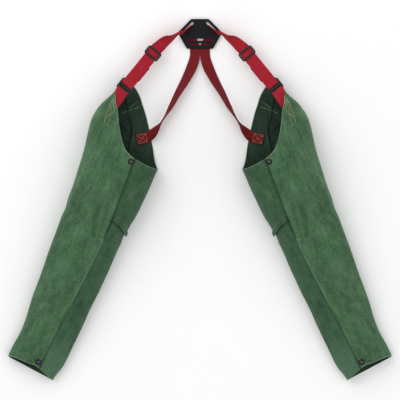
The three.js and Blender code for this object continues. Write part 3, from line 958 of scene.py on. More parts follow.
    def skin(self, s: Array, q: Array, off: Array | float) -> Array:
        """Finds the folded leather.

        Args:
            s: places along the sleeve.
            q: angles round it.
            off: how far outside the surface the points lie.

        Returns:
            The points as (s, v, z).
        """
        s, q = np.broadcast_arrays(np.asarray(s, float), np.asarray(q, float))
        off = np.broadcast_to(off, s.shape)
        shift = self.relief(s, q) + off
        points = self.section(s, q) + self.normal(s, q) * shift[..., None]
        points[..., 2] = np.maximum(points[..., 2], np.where(off >= 0, 0.0, np.minimum(-off, 1.6)))
        return points

    def near_angle(self, s: Array, v: Array) -> Array:
        """Returns the angle of the upper wall over v."""
        return np.arccos(np.clip(v / self.across(s, v), -1, 1))

    def far_angle(self, s: Array, v: Array) -> Array:
        """Returns the angle of the bench wall under v."""
        return -self.near_angle(s, v)

    def armhole_at(self, q: Array) -> Array:
        """Returns the armhole edge's place along the sleeve at q."""
        return self.armhole(np.degrees(np.mod(q, 2 * math.pi)))

    def hem_at(self, q: Array) -> Array:
        """Returns the underarm hem's edge at q."""
        return self.elbow + self.hem_rise - self.hem_dip * np.maximum(0, np.cos(q)) ** 4

    def cuff_at(self, q: Array) -> Array:
        """Returns the cuff's edge at q."""
        lift = self.cuff_lift(np.degrees(np.mod(q, 2 * math.pi)))
        return self.cuff_start - self.cuff_slant * np.cos(q) + lift

    def place(self, points: Array, side: Side) -> Array:
        """Turns sleeve points to the frame's own directions.

        Args:
            points: the points as (s, v, z).
            side: which sleeve.

        Returns:
            The points as (x, y, z).
        """
        down = self.length - points[..., 0]
        sine, cosine = math.sin(self.tilt), math.cos(self.tilt)
        x = self.shoulder[0] + sine * down - cosine * points[..., 1]
        y = self.shoulder[1] - cosine * down - sine * points[..., 1]
        return np.stack([side.value * x, y, points[..., 2]], -1)

    def run(self, line: Sequence[tuple[float, float]], side: Side, off: float,
            bench: bool = False, count: int = 40) -> tuple[Array, Array]:
        """A path over the leather through places (s, v).

        Args:
            line: the places.
            side: which sleeve.
            off: how far outside the surface it lies, negative for the inside.
            bench: whether it lies on the wall against the bench.
            count: how many points to return.

        Returns:
            The path's points and the directions out of the leather's face there.
        """
        flat = smooth_through(np.array([(s, v, 0.0) for s, v in line]), count)
        s, v = flat[:, 0], flat[:, 1]
        q = self.far_angle(s, v) if bench else self.near_angle(s, v)
        points = self.place(self.skin(s, q, off), side)
        ahead = self.place(self.skin(s, q, off + 1) if off >= 0 else self.skin(s, q, off - 1), side)
        lift = unit(ahead - points)
        return points, np.where(np.abs(lift).sum(-1, keepdims=True) > 0.5, lift, [0.0, 0.0, 1.0])


@dataclass
class SidePart:
    """What both sub-assemblies of a side share."""

    side: Side
    wardrobe: Wardrobe
    form: SleeveForm = field(default_factory=SleeveForm)

    def name(self, word: str) -> str:
        """Returns a piece's, node's or body's name with its side."""
        return f"{self.side.word}_{word}"


@dataclass
class Sleeve(SidePart):
    """One sleeve: its three panels, rivets and stitching."""

    lap: float = 12.0
    far_lap: float = 4.5
    lap_gap: float = 0.9
    far_lap_gap: float = 0.4
    lap_cols: int = 3
    jog: float = 2.0
    flare: float = 2.0
    hem_swell: float = 2.0
    hem_stitch: float = 12.0
    stitch_press: float = 0.8
    outer_grid: tuple[int, int] = (210, 96)
    upper_grid: tuple[int, int] = (70, 66)
    lower_grid: tuple[int, int] = (120, 66)
    edge_wear: float = 2.4
    unworn: float = 30.0
    seam_shadow: float = 1.6
    # How far a fold must dip for its painted shade to be full.
    hollow_depth: float = 0.9
    fan_lines: tuple[Line, ...] = (
        ((565, -58.4), (539.6, -46.5)), ((563, -59.6), (541, -48.4)),
        ((539.6, -46.5), (521.5, -56.2)), ((521.5, -56.2), (509.6, -56.6)),
        ((509.6, -56.6), (509, -46)), ((509, -46), (505.3, -43.6)),
        ((564, -60.2), (521.5, -56.2)), ((560, -58.6), (514, -47.4)),
        ((556, -60.4), (528, -59.4), (509.6, -56.6)))
    inside_lines: tuple[Line, ...] = (
        ((576, -11), (558, -21), (540.3, -30.5)), ((566.5, -3.4), (558.3, -14.2), (543.3, -27.4)))
    rivet_cap: float = 5.9
    rivet_rise: float = 2.6

    def bend(self, piece: bpy.types.Object) -> None:
        """Bakes a piece's placement into its mesh; the blend's ends about the elbow and the upper
        arm's and forearm's names are worked out but not used.

        Args:
            piece: the piece.
        """
        ends = [self.form.place(np.array([self.form.elbow + reach, 0.0, 30.0]), self.side) * MM
                for reach in (self.form.blend_reach, -self.form.blend_reach)]
        self.name("upper_arm")
        self.name("forearm")
        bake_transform(piece)

    def panel(self, name: str, angles: Callable[[Array], Array],
              offsets: Callable[[Array, Array], Array], low: Callable[[Array], Array],
              high: Callable[[Array], Array], grid: tuple[int, int],
              look: Look) -> bpy.types.Object:
        """Makes one closed leather panel.

        Args:
            name: the piece's name.
            angles: the angle of each column at given places along the sleeve.
            offsets: how far the leather lies off the surface at places and angles.
            low: the lower edge's place by angle.
            high: the upper edge's place by angle.
            grid: its rows and columns.
            look: the outer face's finish.

        Returns:
            The panel.
        """
        rows, cols = grid
        outer, hemmed = name.startswith("outer"), name.startswith("upper")
        share = np.linspace(0, 1, rows)[:, None] * np.ones((1, cols))
        q = np.full((rows, cols), math.pi / 2)
        for _ in range(10):
            s = low(q) + (high(q) - low(q)) * share
            q = angles(s)
        off = offsets(s, q)
        swell = self.hem_bulge(s - low(q)) * (off > -1) if hemmed else 0.0
        outside = self.form.skin(s, q, off + swell)
        inside = self.form.skin(s, q, off - LEATHER)
        around = np.linalg.norm(np.diff(outside, axis=1, prepend=outside[:, :1]), axis=-1).cumsum(1)
        if not outer:
            around = around[:, -1:] - around
        uv = np.stack([around, s], -1).reshape(-1, 2)
        faces, kinds = slab_faces(rows, cols)
        first_rim = 2 * (rows - 1) * (cols - 1)
        if hemmed:
            kinds[first_rim:first_rim + cols - 1] = [Face.GRAIN.value] * (cols - 1)
        if outer:
            kinds[1 - rows:] = [Face.GRAIN.value] * (rows - 1)
        marks = self.marks(name, s, q, outside, np.minimum(
            np.abs(s - low(q)) + (self.unworn if hemmed else 0), np.abs(high(q) - s)))
        points = np.concatenate([outside.reshape(-1, 3), inside.reshape(-1, 3)])
        return make_piece(
            self.name(name), self.form.place(points, self.side), faces,
            [self.wardrobe[look], self.wardrobe[Look.FLESH], self.wardrobe[Look.CUT]], kinds,
            np.concatenate([uv, uv]), marks)

    def marks(self, name: str, s: Array, q: Array, outside: Array,
              from_end: Array) -> dict[str, Array]:
        """Works out where a panel is worn and faded, and where shade is painted into its folds,
        beside its near seam and under the hem.

        Args:
            name: the panel's name.
            s: places along the sleeve.
            q: angles round it.
            outside: the points of its outer face.
            from_end: how far each point is from the panel's ends.

        Returns:
            The marks by name, for the outer face and then the inner one.
        """
        form = self.form
        past_elbow = s - form.elbow
        from_side = np.linalg.norm(outside - outside[:, :1], axis=-1)
        hidden = ease((past_elbow + 30) / 25) + ease((150 - s) / 60)
        shown_side = from_side + self.unworn * hidden
        edge = np.exp(-np.minimum(from_end, shown_side) / self.edge_wear)
        # Painted shade in the folds: darker where the leather lies lower than around it, weaker
        # below the elbow.
        beside = [form.relief(s + step, q + turn)
                  for step, turn in ((5, 0), (-5, 0), (0, 0.09), (0, -0.09))]
        hollow = np.clip((sum(beside) / 4 - form.relief(s, q)) / self.hollow_depth, 0, 1)
        hollow = hollow * (0.3 + 0.7 * ease((past_elbow + 40) / 30))
        # Painted shadow along the near seam's step, above the elbow and near the cuff.
        seam = ease((self.seam_shadow - from_side) / self.seam_shadow)
        shaded = np.maximum(ease((past_elbow + 25) / 20), ease((140 - s) / 60))
        hollow = np.maximum(hollow, 0.8 * seam * shaded)
        faded = np.zeros_like(s)
        if name.startswith("lower"):
            # Painted shadow on the lower panel just under the hem's edge.
            hollow = np.maximum(hollow, 0.9 * ease((s - form.hem_at(q) + 3.6) / 3))
            faded = 0.7 * ease((95 - s) / 70)
        # The inner face takes only the painted shade lines along the creases inside the shoulder.
        inner = {"hollow": form.inner_lines(s, q)}
        return {mark: np.concatenate([values.ravel(), inner.get(mark, values).ravel()])
                for mark, values in (("edge", edge), ("faded", faded), ("hollow", hollow))}

    def hem_bulge(self, above: Array) -> Array:
        """Returns how far the turned hem stands out at a height above its edge."""
        drawn_in = self.stitch_press * np.exp(-((above - self.hem_stitch) / 1.8) ** 2)
        return self.hem_swell * ease((13 - above) / 5) * ease((above + 2.2) / 3.4) - drawn_in

    def underarm_angles(self, cols: int) -> Callable[[Array], Array]:
        """Lays out an underarm panel's columns, from its far lap round to its near lap.

        Args:
            cols: how many columns it has.

        Returns:
            A function of places that gives each column's angle.
        """
        form = self.form

        def angles(s: Array) -> Array:
            """Lays out the columns.

            Args:
                s: places along the sleeve.

            Returns:
                Each column's angle.
            """
            q = np.empty(s.shape)
            step = 0.8 + (self.jog - 0.5) * ease((s[:, 0] - form.elbow + 30) / 20)
            sides = ((form.far_angle, form.far_seam), (form.near_angle, form.near_seam))
            (far_lap, far_edge, far_step), (near_lap, near_edge, near_step) = [
                [angle(s[:, 0], seam(s[:, 0]) + extra) for extra in (-lap, 0.35, step)]
                for (angle, seam), lap in zip(sides, (self.far_lap, self.lap))]
            laps = self.lap_cols
            for j in range(laps):
                q[:, j] = far_lap + (far_edge - far_lap) * j / (laps - 1)
                q[:, cols - 1 - j] = near_lap + (near_edge - near_lap) * j / (laps - 1)
            t = np.linspace(0, 1, cols - 2 * laps)
            q[:, laps:-laps] = far_step[:, None] + (near_step - far_step)[:, None] * t
            return q
        return angles

    def underarm_offsets(self, hem_side: bool, cols: int) -> Callable[[Array, Array], Array]:
        """Returns how an underarm panel lies, under the outer panel at its laps.

        Args:
            hem_side: whether it is the upper panel, which carries the turned hem.
            cols: columns of the panel.

        Returns:
            A function of places and angles.
        """
        form = self.form
        lap_share = np.zeros(cols)
        lap_share[:self.lap_cols] = lap_share[-self.lap_cols:] = 1.0
        lap_drop = np.full(cols, LEATHER + self.lap_gap)
        lap_drop[:self.lap_cols] = LEATHER + self.far_lap_gap

        def offsets(s: Array, q: Array) -> Array:
            """Works out how the panel lies.

            Args:
                s: places along the sleeve.
                q: angles round it.

            Returns:
                How far it lies off the surface.
            """
            tucked = -lap_drop * lap_share
            above = s - form.hem_at(q)
            inner = np.maximum(0, np.cos(q)) ** 4
            if hem_side:
                return tucked + (1 - lap_share) * self.flare * inner * ease((14 - above) / 14)
            under = -(LEATHER + 0.4) * ease((above + 20) / 16)
            return tucked + under
        return offsets

    def outer_angles(self, s: Array) -> Array:
        """Lays out the outer panel's columns.

        Args:
            s: places along the sleeve.

        Returns:
            Each column's angle.
        """
        form = self.form
        near = form.near_angle(s[:, 0], form.near_seam(s[:, 0]))[:, None]
        far = (2 * math.pi + form.far_angle(s[:, -1], form.far_seam(s[:, -1])))[:, None]
        return near + (far - near) * np.linspace(0, 1, s.shape[1])

    def build_panels(self) -> dict[str, bpy.types.Object]:
        """Makes the panels, dresses them and bakes their placement.

        Returns:
            The panels by a short name.
        """
        form = self.form
        made = {"outer": self.panel(
            "outer_sleeve_leather", self.outer_angles, lambda s, q: np.zeros(s.shape),
            form.cuff_at, form.armhole_at, self.outer_grid, Look.GRAIN)}
        for word, hem_side, low, high, grid, look in (
                ("upper", True, form.hem_at, form.armhole_at, self.upper_grid, Look.UNDERARM),
                ("lower", False, form.cuff_at, lambda q: form.hem_at(q) + 14, self.lower_grid,
                 Look.LOWER_UNDERARM)):
            made[word] = self.panel(
                f"{word}_underarm_leather", self.underarm_angles(grid[1]),
                self.underarm_offsets(hem_side, grid[1]), low, high, grid, look)
        for word, slot, *nodes in (
                ("outer", "split_leather", "outer_panel", "outer_panel_forearm"),
                ("upper", "split_leather", "upper_underarm"),
                ("lower", "underarm_leather", "lower_underarm")):
            self.bend(declare(made[word], slot, *map(self.name, nodes)))
        return made

    def build_rivet(self, word: str, s: float, aside: float, body: str) -> bpy.types.Object:
        """Makes a domed rivet beside the near seam, and the burr behind it.

        Args:
            word: the rivet's name without its side.
            s: its place along the sleeve.
            aside: how far it lies from the near seam.
            body: the body it rides on, without its side.

        Returns:
            The rivet.
        """
        form, cap, rise = self.form, self.rivet_cap, self.rivet_rise
        at_s = np.array(s)
        q = form.near_angle(at_s, form.near_seam(at_s) - aside)
        seat = form.place(form.skin(at_s, q, 0.15), self.side)
        up = unit(form.place(form.skin(at_s, q, 9.0), self.side) - seat)
        dome = [(0.0, -5.2), (1.9, -5.2), (1.9, -0.4), (cap * 0.9, -0.4), (cap * 0.985, -0.1),
                (cap, 0.35), (cap * 0.975, 0.85), (cap * 0.88, 1.45), (cap * 0.7, 2.05),
                (cap * 0.58, rise * 0.87), (cap * 0.46, rise * 0.93), (cap * 0.32, rise * 0.97),
                (cap * 0.2, rise * 0.99), (cap * 0.1, rise), (0.0, rise)]
        washer = [(2.25, -0.8), (4.2, -0.8), (4.6, -0.6), (4.6, -0.2), (4.2, 0.0), (2.25, 0.0)]
        rivet = self.turned(self.name(word), dome, seat, up, False)
        burr = self.turned(self.name(word + "_washer"), washer, seat - up * 5.0, up, True)
        declare(burr, "blackened_rivet", self.name(word + "_burr"), body=self.name(body))
        return declare(rivet, "blackened_rivet", self.name(word), body=self.name(body))

    def turned(self, name: str, outline: Sequence[tuple[float, float]], seat: Array, up: Array,
               ring: bool) -> bpy.types.Object:
        """Turns an outline of (radius, height) about a direction.

        Args:
            name: the piece's name.
            outline: the points to turn.
            seat: the point where the height is 0.
            up: the axis.
            ring: whether the outline closes on itself and not on the axis.

        Returns:
            The turned piece.
        """
        segments = 36
        side_way = unit(np.cross(up, [0.3, 1.0, 0.2]))
        fore_way = np.cross(up, side_way)
        turn = np.linspace(0, 2 * math.pi, segments, endpoint=False)
        points: list[Array] = []
        number: list[list[int]] = []
        for r, h in outline:
            first = len(points)
            points += [seat + up * h + (side_way * math.cos(a) + fore_way * math.sin(a)) * r
                       for a in (turn if r else turn[:1])]
            number.append(list(range(first, len(points))) if r else [first] * segments)
        faces: list[tuple[int, ...]] = []
        for low, high in zip(number, number[1:] + ([number[0]] if ring else [])):
            for j in range(segments):
                n = (j + 1) % segments
                face = tuple(dict.fromkeys((low[j], low[n], high[n], high[j])))
                if len(face) > 2:
                    faces.append(face)
        # Painted highlight mark, strongest at the crown of the rivet's dome.
        across = np.linalg.norm(np.cross(np.array(points) - seat - up * 0.3, up), axis=1)
        return make_piece(name, np.array(points), faces, [self.wardrobe[Look.RIVET]],
                          marks={"crown": 0.8 * np.exp(-(across / 2.1) ** 2)})

    def build_stitching(self) -> dict[str, bpy.types.Object]:
        """Sews the shoulder's fan, the two lines inside the shoulder and the hem.

        Returns:
            The stitching by a short name.
        """
        form, side = self.form, self.side
        fine = Seamstress(self.wardrobe[Look.THREAD], 3.4, 2.3, 0.36)
        made = {
            "fan": fine.sew(self.name("shoulder_box_stitching"),
                            [form.run(line, side, 0.1) for line in self.fan_lines]),
            "inner": fine.sew(self.name("inside_shoulder_stitching"),
                              [form.run(line, side, -LEATHER - 0.1, True)
                               for line in self.inside_lines]),
        }
        q = np.linspace(1.12, -1.35, 70)
        s = form.hem_at(q) + self.hem_stitch
        off = self.underarm_offsets(True, 70)(s[None, :], q[None, :])[0]
        off = off + self.hem_bulge(np.full(q.shape, self.hem_stitch))
        path = form.place(form.skin(s, q, off + 0.1), side)
        lift = unit(form.place(form.skin(s, q, off + 3), side) - path)
        made["hem"] = Seamstress(self.wardrobe[Look.HEM_THREAD], 4.2, 2.6, 0.34).sew(
            self.name("hem_stitching"), [(path, lift)])
        self.bend(made["hem"])
        for word, piece in made.items():
            body = None if word == "hem" else self.name("upper_arm")
            declare(piece, "stitching_thread", body=body)
        return made

    def build(self) -> None:
        """Makes the whole sleeve."""
        panels = self.build_panels()
        stitching = self.build_stitching()
        edge_s = float(self.form.armhole_at(np.array(math.pi / 3)))
        self.build_rivet("armhole_rivet", edge_s - 7.0, 5.6, "upper_arm")
        self.build_rivet("cuff_rivet", 18.0, 7.6, "forearm")


# ---- webbing and buckles -------------------------------------------------------------------------
def leaning(x: float, y: float, z: float, heading: float, lean: float,
            width: float = WEB_WIDTH) -> list[float]:
    """Makes a strap frame whose width lies along a heading.

    Args:
        x: its middle's place across.
        y: its place along.
        z: its height.
        heading: the width's direction on the bench in degrees.
        lean: how far it leans up in degrees.
        width: the strap's width there.

    Returns:
        The frame: place, direction across, width.
    """
    level, rise = math.radians(heading), math.radians(lean)
    return [x, y, z, math.cos(level) * math.cos(rise), math.sin(level) * math.cos(rise),
            math.sin(rise), width]


@dataclass
class StrapRig(SidePart):
    """The straps and buckles of one side, built on the +X side and mirrored for the other."""

    plate_bottom: float = 302.2
    yoke_course: Course = (
        (11.3, 307.0, 0.6, 176, 0, LOWER_WEB_WIDTH), (15.2, 312.4, 0.6, 157, 0, 23.5),
        (19.8, 320.6, 0.6, 147, 0), (22.8, 329.5, 0.6, 139, 0), (24.4, 336.8, 0.6, 135, 0))
    shoulder_course: Course = (
        (52, 327.4, 17.6, 27, 68), (60.6, 323.6, 18.0, 33, 47), (72.9, 314.7, 19.2, 46, 30),
        (80.6, 307.4, 20.6, 45, 17))
    lower_course: Course = (
        (10.0, 305.6, 0.6, 180, 0, 19.7), (10.0, 299.6, 0.6, 180, 0, 19.7),
        (10.9, 283.3, 2.1, 188, 6, 20.2), (14.8, 270.1, 3.6, 196, 14, LOWER_WEB_WIDTH),
        (27.7, 242.1, 7.6, 203, 34, LOWER_WEB_WIDTH), (46.4, 209.5, 10.6, 206, 54, LOWER_WEB_WIDTH),
        (58, 187.2, 11.6, 207, 63, LOWER_WEB_WIDTH), (79.4, 152.4, 12.6, 215, 78, LOWER_WEB_WIDTH),
        (90, 137.5, 9.6, 240, 42, LOWER_WEB_WIDTH), (98, 129.6, 6, 254, 14, LOWER_WEB_WIDTH))
    slot_from: tuple[float, float] = (14.8, 354.0)
    slot_to: tuple[float, float] = (37.0, 331.8)
    swing: tuple[float, float] = (43.5, 330.6)
    slider_at: tuple[float, float, float] = (94.2, 292.6, 26.0)
    ring_s_v_z: tuple[float, float, float] = (590.6, -45.3, 38.0)
    bar: float = 2.2
    bar_wide: float = 3.8
    slider_bar_wide: float = 4.8
    half_wide: float = 10.0
    rail: float = 3.4
    rail_gap: float = 0.4
    buckle_corner: float = 5.0
    buckle_bevel: float = 1.2
    buckle_voxel: float = 0.00038
    bar_segments: int = 28
    rail_rise: float = 0.3
    loop_reach: float = 27.0
    loop_gap: float = 0.05
    web_cols: int = 15
    web_edge: float = 0.22
    web_square: float = 9.0
    web_wear: float = 1.1
    patch_half: float = 11.4
    patch_s_v: tuple[float, float] = (510.5, 25.5)
    patch_z: float = 3.7
    patch_heading: float = -13.0
    patch_seam: tuple[float, float] = (2.2, 2.4)
    edge_row: tuple[float, float, float] = (10.2, 8.2, 1.25)
    edge_row_below: float = 3.2

    def __post_init__(self) -> None:
        """Works out the strap's own directions between slider and ring."""
        self.ring_at = self.form.place(np.array(self.ring_s_v_z), Side.RIGHT)
        self.start = np.array(self.slider_at)
        self.along = unit(self.ring_at - self.start)
        self.across = unit(np.array([-self.along[1], self.along[0], 0.0]))
        self.out = unit(np.cross(self.along, self.across))
        self.strap_length = float(np.linalg.norm(self.ring_at - self.start))
        self.clear = self.bar / 2 + GAP + WEB_THICK / 2
        self.end_bar = self.half_wide - self.bar / 2

    def at(self, origin: Array, along: float, across: float, out: float) -> Array:
        """Returns a point in the strap's own directions."""
        return origin + self.along * along + self.across * across + self.out * out

    def flat(self, origin: Array, along: float, out: float) -> list[float]:
        """Returns a strap frame square across the strap."""
        return [*self.at(origin, along, 0.0, out), *self.across, WEB_WIDTH]

    def mirrored(self, points: Array) -> Array:
        """Returns points of the +X side on this rig's own side."""
        return points * np.array([self.side.value, 1.0, 1.0])

    def strap(self, name: str, frames: Sequence[Sequence[float]], count: int,
              look: Look, smooth: bool = True) -> bpy.types.Object:
        """Makes webbing along frames.

        Args:
            name: the piece's name.
            frames: rows of place, direction across and width.
            count: rows along the strap.
            look: its finish.
            smooth: whether to curve between the frames.

        Returns:
            The strap.
        """
        rows = np.array(frames, float)
        if smooth:
            rows = smooth_through(rows, count)
        at, across, width = rows[:, :3], unit(rows[:, 3:6]), rows[:, 6]
        along = unit(np.gradient(at, axis=0))
        normal = unit(np.cross(along, across))
        u = np.linspace(-1, 1, self.web_cols)[None, :]
        body = self.web_edge + (1 - self.web_edge) * (1 - np.abs(u) ** self.web_square) ** 0.5
        aside = u * width[:, None] / 2
        shift = at[:, None, :] + across[:, None, :] * aside[..., None]
        lift = normal[:, None, :] * (body[..., None] * WEB_THICK / 2)
        points = self.mirrored(np.concatenate([(shift + lift).reshape(-1, 3),
                                               (shift - lift).reshape(-1, 3)]))
        step = np.linalg.norm(np.diff(at, axis=0), axis=1)
        run = np.concatenate([[0.0], np.cumsum(step)])[:, None] + 0 * aside
        uv = np.stack([aside, run], -1).reshape(-1, 2)
        edge = np.exp(-(1 - np.abs(u)) * width[:, None] / 2 / self.web_wear)
        faces, _ = slab_faces(*aside.shape)
        return make_piece(self.name(name), points, faces, [self.wardrobe[look]],
                          uvs=np.concatenate([uv, uv]), marks={"edge": np.tile(edge.ravel(), 2)})

    def point(self, x: float, y: float, z: float) -> tuple[float, float, float]:
        """Returns a point of the +X side in metres on this rig's own side."""
        return (self.side.value * x * MM, y * MM, z * MM)

    def build_yoke(self) -> bpy.types.Object:
        """Makes the webbing behind the plate, up to the diagonal slot.

        Returns:
            The webbing.
        """
        frames = [leaning(*row) for row in self.yoke_course]
        piece = self.strap("webbing_behind_plate", frames, 40, Look.LOWER_WEBBING)
        return declare(piece, "lower_webbing", self.name("yoke_strap"), body="harness")

    def build_upper(self) -> bpy.types.Object:
        """Makes the strap from the slot, on edge past the plate, then flat to the ring.

        Returns:
            The strap.
        """
        slot = unit(np.array([*self.slot_from, 0.0]) - np.array([*self.slot_to, 0.0]))
        end = np.array([*self.slot_to, 0.0]) + slot * 1.2
        middle = end + slot * WEB_WIDTH / 2
        outward = np.array([slot[1], -slot[0], 0.0])
        swing = np.array([*self.swing, 0.0])
        swing_out = unit(np.array([0.86, -0.5, 0.0]))

        def through(out: float, z: float) -> list[float]:
            """Returns a frame in the slot, out to one side of its middle and at a height."""
            return [*(middle + outward * out + [0, 0, z]), *slot, WEB_WIDTH]

        frames = [through(-2.6, 0.9), through(-1.5, 1.8), through(-1.3, 4.8)]
        for turn, heading in ((28, 135), (54, 134), (71, 116)):
            lean = np.array(leaning(0, 0, 0, heading, turn))[3:6]
            foot = end - outward * 1.3 + (swing - end) * (turn / 90) ** 2.6
            frames.append([*(foot + [0, 0, 5.1] + lean * WEB_WIDTH / 2), *lean, WEB_WIDTH])
        upright = np.array(leaning(0, 0, 0, 66, 77))[3:6]
        for past in (-1.2, 1.2):
            foot = swing + swing_out * past - [0, 1.2, 0]
            frames.append([*(foot + [0, 0, 5.4] + upright * WEB_WIDTH / 2), *upright, WEB_WIDTH])
        frames += [
            *(leaning(*row) for row in self.shoulder_course),
            *(self.flat(self.start, along, 0.0) for along in (
                -12.0, 0.0, 30.0, self.strap_length - self.loop_reach - self.loop_gap))]
        piece = self.strap("shoulder_strap", frames, 190, Look.WEBBING)
        self.name("upper_arm")
        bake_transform(piece)
        return declare(piece, "strap_webbing", self.name("upper_strap"))

    def round_bar(self, origin: Array, toward: float, reach: float,
                  under: float) -> list[list[float]]:
        """Frames of webbing over a bar and back under it.

        Args:
            origin: the bar's middle.
            toward: 1 where the turn faces along the strap, -1 where it faces back.
            reach: how far the upper layer runs from the bar.
            under: how far the lower layer runs.

        Returns:
            The frames, upper layer first.
        """
        c = self.clear
        turn_at = self.bar_wide - self.bar
        frames = [self.flat(origin, -toward * a, c) for a in np.linspace(reach, 1.0 - turn_at, 12)]
        for a in np.linspace(90, -90, 17):
            r = math.radians(a)
            frames.append(self.flat(origin, toward * (turn_at + c * math.cos(r)), c * math.sin(r)))
        return frames + [self.flat(origin, -toward * a, -c)
                         for a in np.linspace(1.0 - turn_at, under, 12)]

    def build_ring_straps(self) -> None:
        """Makes the strap's turned end, its second layer and the tab inside the shoulder."""
        upper_bar = self.at(self.ring_at, -self.end_bar, 0, -self.clear)
        lower_bar = self.at(self.ring_at, self.end_bar, 0, -self.clear)
        length, reach = self.strap_length, self.loop_reach - self.end_bar
        second = []
        for a in np.linspace(-2.1, length - self.loop_reach - self.loop_gap, 60):
            aside = -1.5 * ease((a - 26) / 2) - 0.5 * math.exp(-((a - 29.5) / 1.6) ** 2)
            row = self.flat(self.start, a, -2 * self.clear)
            row[:3] = self.at(self.start, a, float(aside), -2 * self.clear)
            second.append(row)
        for word, node, frames, body, ends in (
                ("strap_turned_end", "strap_end_loop", self.round_bar(upper_bar, 1, reach, reach),
                 "ring_link", [(self.start, length - self.loop_reach, 0),
                               (self.start, length - 14, 0)]),
                ("strap_second_layer", "strap_under_layer", second, "strap_slider",
                 [(self.start, length - self.loop_reach - 2, -4), (self.start, 6, -4)]),
                ("shoulder_tab", "anchor_tab", self.tab_frames(lower_bar), "ring_link",
                 [(lower_bar, 9.0, 0), (lower_bar, 2.4, 0)])):
            piece = self.strap(word, frames, 0, Look.WEBBING, False)
            self.name("upper_arm")
            self.name(body)
            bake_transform(piece)
            declare(piece, "strap_webbing", self.name(node))

    def tab_frames(self, bar: Array) -> Array:
        """Lays the tab from under the ring's bar, over it and inside the near wall.

        Args:
            bar: the bar's middle.

        Returns:
            The tab's frames.
        """
        rounds = np.array(self.round_bar(bar, -1, 3.0, 6.0))[::-1]
        last = rounds[-1]
        ahead = unit(np.array([0.56, -0.83, 0.0]))
        tail = [rounds[-2], last]
        for run, rise, tilt, width in ((12.0, -0.4, 0.1, 20.0), (26.0, 1.2, 0.2, 13.0),
                                       (44.0, 5.0, 0.3, 9.0)):
            across = unit(np.array([0.83, 0.56, -tilt]))
            middle = last[:3] + ahead * run - across * (WEB_WIDTH - width) / 2 + [0, 0, rise]
            tail.append([*middle, *across, width])
        return np.concatenate([rounds[:-2], smooth_through(np.array(tail), 40)])

    def build_lower(self) -> None:
        """Makes the strap below the plate, down to the patch inside the shoulder, and its cross."""
        low = LOWER_WEB_WIDTH
        heading = math.radians(self.patch_heading)
        middle = self.form.place(np.array([*self.patch_s_v, 0.0]), Side.RIGHT)
        ahead = np.array([math.cos(heading), math.sin(heading), 0.0])
        across = self.patch_heading + 270
        patch = [leaning(*(middle + ahead * reach)[:2], self.patch_z, across, 0, low)
                 for reach in (-self.patch_half, 0.0, self.patch_half)]
        frames = [leaning(*row) for row in self.lower_course] + patch
        strap = self.strap("plate_to_shoulder_strap", frames, 170, Look.LOWER_WEBBING)
        self.name("upper_arm")
        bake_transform(strap)
        declare(strap, "lower_webbing", self.name("lower_strap"))
        side_way = np.array([-ahead[1], ahead[0], 0.0])
        reach, half = self.patch_half - self.patch_seam[0], low / 2 - self.patch_seam[1]
        corner = [middle + ahead * a * reach + side_way * b * half
                  + [0, 0, self.patch_z + WEB_THICK / 2]
                  for a, b in ((-1, -1), (1, -1), (1, 1), (-1, 1))]
        pairs = [(0, 1), (1, 2), (2, 3), (3, 0), (0, 2), (1, 3)]
        self.sewn("patch_cross_stitching", [(corner[i], corner[j]) for i, j in pairs],
                  Look.THREAD, self.name("upper_arm"))
        x, half, z = self.edge_row
        y = self.plate_bottom - self.edge_row_below
        row = [np.array([x + aside, y, z]) for aside in (-half, half)]
        self.sewn("plate_edge_stitching", [(row[0], row[1])], Look.RED_THREAD, "harness")

    def sewn(self, name: str, lines: Sequence[tuple[Array, Array]], thread: Look,
             body: str) -> None:
        """Sews straight rows that lie level.

        Args:
            name: the piece's name without its side.
            lines: each row's two ends, on the +X side.
            thread: the thread's finish.
            body: the body they ride on.
        """
        up = np.tile([0.0, 0.0, 1.0], (12, 1))
        runs = [(self.mirrored(np.linspace(first, last, 12)), up) for first, last in lines]
        piece = Seamstress(self.wardrobe[thread], 3.0, 2.2, 0.3).sew(self.name(name), runs)
        declare(piece, "stitching_thread", body=body)

    def build_buckle(self, word: str, node: str, body: str, origin: Array, end_out: float,
                     middle_out: float, wide: float) -> bpy.types.Object:
        """Makes a moulded three-bar buckle.

        Args:
            word: its name without its side.
            node: the frame's node that it stands for.
            body: the body it rides on.
            origin: its middle.
            end_out: how far its end bars stand out of the strap's face.
            middle_out: the same for its middle bar.
            wide: how wide its flattened bars are.

        Returns:
            The buckle.
        """
        thick = self.bar / 2
        top = max(end_out, middle_out) + thick + self.rail_rise
        bottom = min(end_out, middle_out) - thick - self.rail_rise
        rail_at = WEB_WIDTH / 2 + self.rail_gap + self.rail / 2
        work = bmesh.new()
        for way in (-1, 1):
            made = bmesh.ops.create_cube(work, size=1.0)["verts"]
            bmesh.ops.scale(work, vec=(2 * self.half_wide, self.rail, top - bottom), verts=made)
            bmesh.ops.translate(work, vec=(0, way * rail_at, (top + bottom) / 2), verts=made)
        bmesh.ops.bevel(work, geom=list(work.edges), offset=self.buckle_bevel, segments=4,
                        profile=0.5, affect="EDGES")
        reach = self.half_wide - wide / 2
        for place, out in ((-reach, end_out), (0, middle_out), (reach, end_out)):
            made = bmesh.ops.create_cone(work, cap_ends=True, segments=self.bar_segments,
                                         radius1=thick, radius2=thick, depth=2 * rail_at)["verts"]
            for vert in made:
                shift = place + math.copysign((wide - self.bar) / 2, vert.co.x)
                vert.co = Vector((vert.co.x + shift, vert.co.z, vert.co.y + out))
        bmesh.ops.recalc_face_normals(work, faces=work.faces)
        bmesh.ops.scale(work, vec=(MM, MM, MM), verts=work.verts)
        rough = bpy.data.meshes.new(self.name(word) + "_rough")
        work.to_mesh(rough)
        work.free()
        shape = bpy.data.objects.new(rough.name, rough)
        merge = shape.modifiers.new("Merge", "REMESH")
        merge.mode, merge.voxel_size = "VOXEL", self.buckle_voxel
